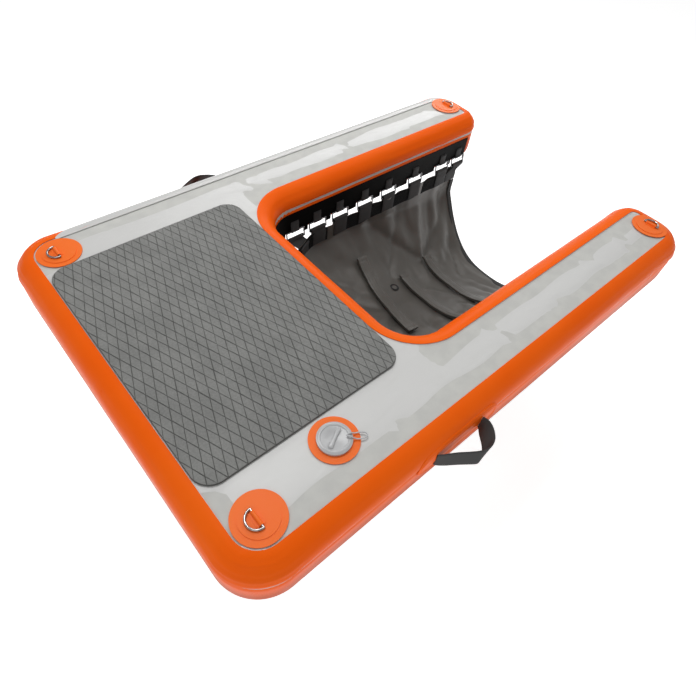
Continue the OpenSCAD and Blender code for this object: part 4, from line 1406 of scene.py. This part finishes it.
@dataclass
class Sling:
    """The sling: cloth in a webbing hem, bound at the front, with three battens."""

    inner: float = -0.0016
    cloth_t: float = 0.0010
    along: int = 168
    down: int = 44
    pockets: tuple[tuple[float, float, float], ...] = (
        (0.218, -0.010, -0.05), (0.380, -0.045, 0.02), (0.528, 0.040, 0.20))
    folds: tuple[tuple[float, float, float, float, float, float], ...] = (
        (1.040, 0.252, 0.850, 0.120, 0.015, 0.016), (0.690, 0.252, 0.850, 0.130, 0.013, 0.016),
        (1.064, 0.235, 0.975, 0.030, 0.009, 0.014), (0.900, 0.250, 0.800, 0.060, -0.011, 0.018),
        (0.800, 0.250, 0.640, 0.090, 0.008, 0.012), (0.960, 0.250, 0.905, 0.110, 0.009, 0.012),
        (0.620, 0.245, 0.560, 0.080, 0.007, 0.014), (0.760, 0.020, 0.930, -0.110, -0.008, 0.016),
        (1.040, -0.252, 0.880, -0.110, 0.014, 0.016), (0.720, -0.252, 0.840, -0.120, 0.012, 0.016),
        (1.064, -0.235, 0.960, -0.020, 0.009, 0.014), (0.870, -0.250, 0.790, -0.070, -0.010, 0.018),
        (0.560, -0.240, 0.640, -0.060, 0.008, 0.014), (0.420, 0.120, 0.520, 0.020, 0.006, 0.012),
        (0.420, -0.130, 0.540, -0.030, 0.007, 0.013), (0.980, 0.050, 1.060, -0.100, 0.006, 0.012))
    batten_half: float = 0.149
    sleeve_w: float = 0.036
    sleeve_t: float = 0.0090
    scallop: float = 0.118
    middle_from: float = 0.97

    def relief(self, run: float, down: float, place: Vector) -> float:
        """Height of the folds and puckers over the plain cloth."""
        t = self.hem.past_turn(down)
        fan = ripple(run * 17.0, t * 1.3, 5.0) + 0.6 * ripple(run * 36.0, t * 2.0, 9.0)
        sharp = abs(fan) - 0.35
        height = 0.0060 * sharp * window(t, 0.12, 0.62, 0.22)
        height += 0.0050 * ripple(place.x * 9.0, place.y * 11.0, 2.0) * window(t, 0.2, 1.5, 0.3)
        height += 0.0030 * ripple(place.x * 26.0, place.y * 30.0, 6.0) * window(t, 0.1, 1.5, 0.3)
        height += 0.0030 * math.cos(2 * math.pi * run / self.scallop) * window(t, 0.02, 0.12, 0.10)
        shift = 0.012 * ripple(place.x * 8.0, place.y * 8.0, 3.0)
        for x0, y0, x1, y1, tall, wide in self.folds:
            reach = math.hypot(x1 - x0, y1 - y0)
            along = ((place.x - x0) * (x1 - x0) + (place.y - y0) * (y1 - y0)) / reach
            across = ((place.y - y0) * (x1 - x0) - (place.x - x0) * (y1 - y0)) / reach + shift
            if abs(across) < 4 * wide:
                share = window(along, 0.012, reach * 0.8, 0.35 * reach) * window(t, 0.03, 1.5, 0.10)
                crest = math.exp(-abs(across) / wide)
                hollow = math.exp(-((across / wide / 1.8 - 1.0) ** 2))
                height += tall * share * (crest - 0.35 * hollow)
        return height

    def cloth(self) -> Piece:
        """The cloth: a sheet from hem to hem, folded down and puckered."""
        hem = self.hem
        total = 2 * hem.half

        def plain(run: float, down: float) -> Vector:
            """A point of the cloth before it is folded."""
            return hem.cloth(run, down, self.inner)

        def place(u: float, v: float) -> Vector:
            """A point of the folded cloth."""
            run = u * total
            here = plain(run, v)
            step_u = plain(min(run + 0.004, total), v) - plain(max(run - 0.004, 0.0), v)
            step_v = plain(run, min(v + 0.01, 1.0)) - plain(run, max(v - 0.01, 0.0))
            normal = step_u.cross(step_v)
            normal = normal.normalized() if normal.length > 1e-12 else UP
            if v > self.middle_from:
                normal = UP if normal.z >= 0 else -UP
            return here + normal * self.relief(run, v, here)

        piece = Bench.grid("sling_cloth", self.along, self.down, place, (total, 0.33))
        Bench.weld(piece, 0.0006)
        Bench.face_out(piece)
        Bench.modify(piece, "SUBSURF", levels=1, render_levels=1)
        Bench.modify(piece, "SOLIDIFY", thickness=self.cloth_t, offset=0.0)
        Bench.smooth(piece, 70.0)
        Bench.fit(piece, Finish.CLOTH, "sling_cloth", "sling_fabric")
        return piece

    def hem_band(self) -> Piece:
        """The hem webbing, with a slight wave between the straps."""
        hem = self.hem
        total = hem.walk.length
        stations: list[Station] = []
        for i in range(241):
            run = total * i / 240
            point, ahead = hem.walk.at(run)
            inward = right_of(ahead)
            wave = 0.0016 * math.cos(2 * math.pi * run / self.scallop) + 0.0008 * ripple(run * 30.0, 1.0)
            middle = point + inward * (hem.thick / 2 + 0.0006 * ripple(run * 22.0, 4.0))
            middle.z = (hem.top + hem.low) / 2 - 0.0015 + wave
            stations.append((middle, UP + inward * 0.03 * ripple(run * 14.0, 8.0)))
        piece = Ribbon(stations, 260).build("hem_webbing", hem.top - hem.low - 0.004, hem.thick, 6)
        return Bench.fit(piece, Finish.HEM, "black_webbing", "sling_hem")

    def binding(self) -> Piece:
        """The tape folded over the cloth's front edge."""
        near = [self.hem.cloth(0.0, i / 24, self.inner) for i in range(2, 25)]
        line = near + [Vector((p.x, -p.y, p.z)) for p in reversed(near[:-1])]
        ahead = Vector((1.0, 0.0, 0.0))
        stations = [(point + ahead * 0.002, ahead) for point in line]
        piece = Ribbon(stations, 120).build("front_binding", 0.018, 0.0036, 4)
        return Bench.fit(piece, Finish.STRAP, "black_webbing", "edge_binding")

    def sleeve(self, index: int, name: str) -> Piece:
        """One batten in its sewn pocket, raised along its middle.

        Args:
            index: which batten, from the front.
            name: its CAD name.

        Returns:
            The pocket.
        """
        hem = self.hem
        back, y0, slant = self.pockets[index]
        x0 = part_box("sling_fabric")[1].x - back
        half = self.batten_half

        def place(u: float, v: float) -> Vector:
            """A point of the pocket's top: two stitched edges and a low ridge."""
            y = (2 * u - 1) * half
            off = (2 * v - 1) * self.sleeve_w / 2
            core = window(abs(off), -1.0, 0.0060, 0.0050) * window(abs(y), -1.0, half - 0.016, 0.006)
            cross = window(half - abs(y), 0.0035, 0.0075, 0.0016)
            x = x0 + off + slant * y + 0.0015 * ripple(y * 18.0, index)
            side = y0 + y
            z = hem.floor(x, side) + 0.0072 * window(t_of(side), 0.0, 9.0, 0.2) + 0.0016 * core
            rim = abs(abs(off) - 0.0140)
            z += 0.0016 * math.exp(-((rim / 0.0014) ** 2)) + 0.0012 * cross
            z -= 0.0012 * math.exp(-(((abs(off) - 0.0112) / 0.0010) ** 2))
            return Vector((x, side, z + 0.0006 * ripple(y * 60.0, off * 80.0, index)))

        def t_of(side: float) -> float:
            """Share of the way from the hem to the middle."""
            return 1.0 - abs(side) / hem.side

        piece = Bench.grid(f"batten_pocket_{name}", 90, 30, place, (2 * half, self.sleeve_w))
        Bench.modify(piece, "SOLIDIFY", thickness=self.sleeve_t, offset=-1.0)
        Bench.smooth(piece, 60.0)
        return Bench.fit(piece, Finish.CLOTH, "sling_cloth", f"sleeve_{name}", f"batten_{name}")

    def eyelet(self) -> None:
        """The drain eyelet: a flat oval grommet pressed into the cloth."""
        low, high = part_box("drain_eyelet")
        middle = (low + high) / 2
        Bench.clear()
        bpy.ops.mesh.primitive_torus_add(
            major_radius=0.0105, minor_radius=0.0028, major_segments=48, minor_segments=12)
        piece = bpy.context.object
        piece.name = piece.data.name = "drain_grommet"
        floor, step = self.hem.floor, 0.002
        slope_y = (floor(middle.x, middle.y + step) - floor(middle.x, middle.y - step)) / (2 * step)
        slope_x = (floor(middle.x + step, middle.y) - floor(middle.x - step, middle.y)) / (2 * step)
        for vertex in piece.data.vertices:
            x, y = vertex.co.x * 1.25, vertex.co.y
            z = floor(middle.x, middle.y) + 0.003 + slope_x * x + slope_y * y + vertex.co.z * 0.5
            vertex.co = Vector((middle.x + x, middle.y + y, z))
        Bench.smooth(piece, 60.0)
        Bench.fit(piece, Finish.SEAL, "ring_steel", "drain_eyelet")

    def build(self) -> None:
        """Builds the sling."""
        self.hem = HemLine()
        cloth = self.cloth()
        extras = [self.hem_band(), self.binding()]
        extras += [self.sleeve(index, name) for index, name in enumerate(("front", "middle", "rear"))]
        self.eyelet()
        flat = self.flat_size()

    def flat_size(self) -> tuple[float, float]:
        """Length and width of the rectangle that the cloth is cut from."""
        hem = self.hem

        def girth(run: float) -> float:
            """Length of the cloth from the hem down to the middle."""
            line = [hem.cloth(run, i / 60, self.inner) for i in range(61)]
            return sum((b - a).length for a, b in zip(line, line[1:]))

        spine = math.hypot(hem.arm, hem.front - hem.rear)
        return spine + girth(hem.half), 2 * girth(0.0)


# ---- stage -----------------------------------------------------------------


@dataclass
class Studio:
    """Floor, lights and camera."""

    floor_z: float = -0.42
    eye: tuple[float, float, float] = (-0.3272, -0.6469, 0.9698)
    azimuth: float = -47.688
    elevation: float = 51.271
    roll: float = 8.652
    lens: float = 26.7
    white: tuple[float, float, float, float] = (1.0, 1.0, 1.0, 1.0)
    floor_glow: float = 0.62
    room_glow: float = 0.36

    def floor(self) -> None:
        """A plain pale floor and a pale room."""
        Bench.clear()
        bpy.ops.mesh.primitive_plane_add(size=60.0, location=(0.0, 0.0, self.floor_z))
        floor = bpy.context.object
        floor.name = "studio_floor"
        tree = Tree("floor_paint")
        drift = tree.grain(tree.place(), 0.6, 2.0)
        colour = tree.blend(drift, (0.93, 0.93, 0.93), (0.96, 0.96, 0.96))
        floor.data.materials.append(tree.dress(
            colour, 0.95, Emission_Color=self.white, Emission_Strength=self.floor_glow,
            Specular_IOR_Level=0.0))
        world = bpy.data.worlds.new("studio_room")
        world.use_nodes = True
        room = world.node_tree.nodes["Background"].inputs
        room["Color"].default_value = self.white
        room["Strength"].default_value = self.room_glow
        bpy.context.scene.world = world
        bpy.context.scene.view_settings.view_transform = "Standard"

    def lamp(self, name: str, at: Vector, towards: Vector, size: tuple[float, float], watts: float) -> None:
        """Adds one soft rectangular lamp.

        Args:
            name: the lamp's name.
            at: its place.
            towards: the point it faces.
            size: width and height in metres.
            watts: its power.
        """
        data = bpy.data.lights.new(name, "AREA")
        data.shape = "RECTANGLE"
        data.size, data.size_y = size
        data.energy = watts
        lamp = bpy.data.objects.new(name, data)
        back = (at - towards).normalized()
        right = (Vector((1.0, 0.0, 0.0)) - back * back.x).normalized()
        axes = Matrix((right, back.cross(right), back)).transposed().to_4x4()
        lamp.matrix_world = Matrix.Translation(at) @ axes
        bpy.context.scene.collection.objects.link(lamp)

    def lights(self) -> None:
        """A high key panel, a rim strip, a gloss strip and a weak fill."""
        middle = Vector((0.35, 0.0, 0.1))
        self.lamp("key_panel", Vector((0.2, 0.9, 2.6)), middle, (1.3, 0.8), 22.0)
        self.lamp("rim_strip", Vector((1.9, 1.9, 1.3)), middle, (2.6, 0.5), 20.0)
        self.lamp("gloss_strip", Vector((1.9, 0.45, 2.7)), Vector((0.6, -0.35, 0.15)), (3.4, 0.4), 16.0)
        self.lamp("fill_panel", Vector((-1.8, -1.6, 1.6)), middle, (1.8, 1.4), 9.0)

    def camera(self) -> None:
        """The camera, from its turn round the platform, tilt and roll."""
        turn, tilt, roll = (math.radians(a) for a in (self.azimuth, self.elevation, self.roll))
        back = Vector((math.sin(turn) * math.cos(tilt), -math.cos(turn) * math.cos(tilt), math.sin(tilt)))
        right = UP.cross(back).normalized()
        up = back.cross(right)
        right, up = (right * math.cos(roll) + up * math.sin(roll),
                     up * math.cos(roll) - right * math.sin(roll))
        data = bpy.data.cameras.new("studio_camera")
        data.lens = self.lens
        data.sensor_width = 36.0
        data.clip_start = 0.02
        camera = bpy.data.objects.new("studio_camera", data)
        axes = Matrix((right, up, back)).transposed().to_4x4()
        camera.matrix_world = Matrix.Translation(Vector(self.eye)) @ axes
        bpy.context.scene.collection.objects.link(camera)
        bpy.context.scene.camera = camera

    def build(self) -> None:
        """Builds the stage, the camera first."""
        self.camera()
        self.floor()
        self.lights()


# ---- carried-over nodes ----------------------------------------------------

FINISH_OF_SLOT: dict[str, Finish] = {
    "orange_pvc": Finish.ORANGE,
    "grey_pvc": Finish.DECK,
    "black_pvc": Finish.BLACK,
    "drop_stitch": Finish.STITCH,
    "eva_foam": Finish.FOAM,
    "valve_plastic": Finish.VALVE,
    "valve_white": Finish.VALVE_INSIDE,
    "seal_rubber": Finish.SEAL,
    "tether_rubber": Finish.TETHER,
    "stainless": Finish.STEEL,
    "ring_steel": Finish.DARK_STEEL,
    "orange_webbing": Finish.ORANGE,
    "black_webbing": Finish.STRAP,
    "sling_cloth": Finish.CLOTH,
    "batten_plastic": Finish.VALVE,
}
PATCH_NODES = ("dring_base", "dring_cover", "valve_patch", "handle_patch")


def dress_nodes(nodes: dict[str, Piece], record: dict) -> None:
    """Gives every carried-over node its finish.

    Args:
        nodes: the frame's nodes by name.
        record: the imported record.
    """
    slots = {part["node"]: part["material_slot"] for part in record["subparts"]}
    for name, node in nodes.items():
        finish = FINISH_OF_SLOT[slots[name]]
        if name.startswith(PATCH_NODES):
            finish = Finish.PATCH
        material = finish.material()
        if node.material_slots:
            for entry in node.material_slots:
                entry.material = material
        else:
            node.data.materials.append(material)


# ---- whole object ----------------------------------------------------------


def main() -> None:
    """Builds the platform round its frame and finishes the scene."""
    logging.basicConfig(level=logging.INFO, format="%(message)s")
    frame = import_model()
    Studio().build()
    dress_nodes(frame["nodes"], frame["record"])
    for assembly in (Wall(), Deck(), TreadPad(), Cap(), Hangers(frame["nodes"]), Sling(), Handles()):
        assembly.build()


if __name__ == "__main__":
    main()
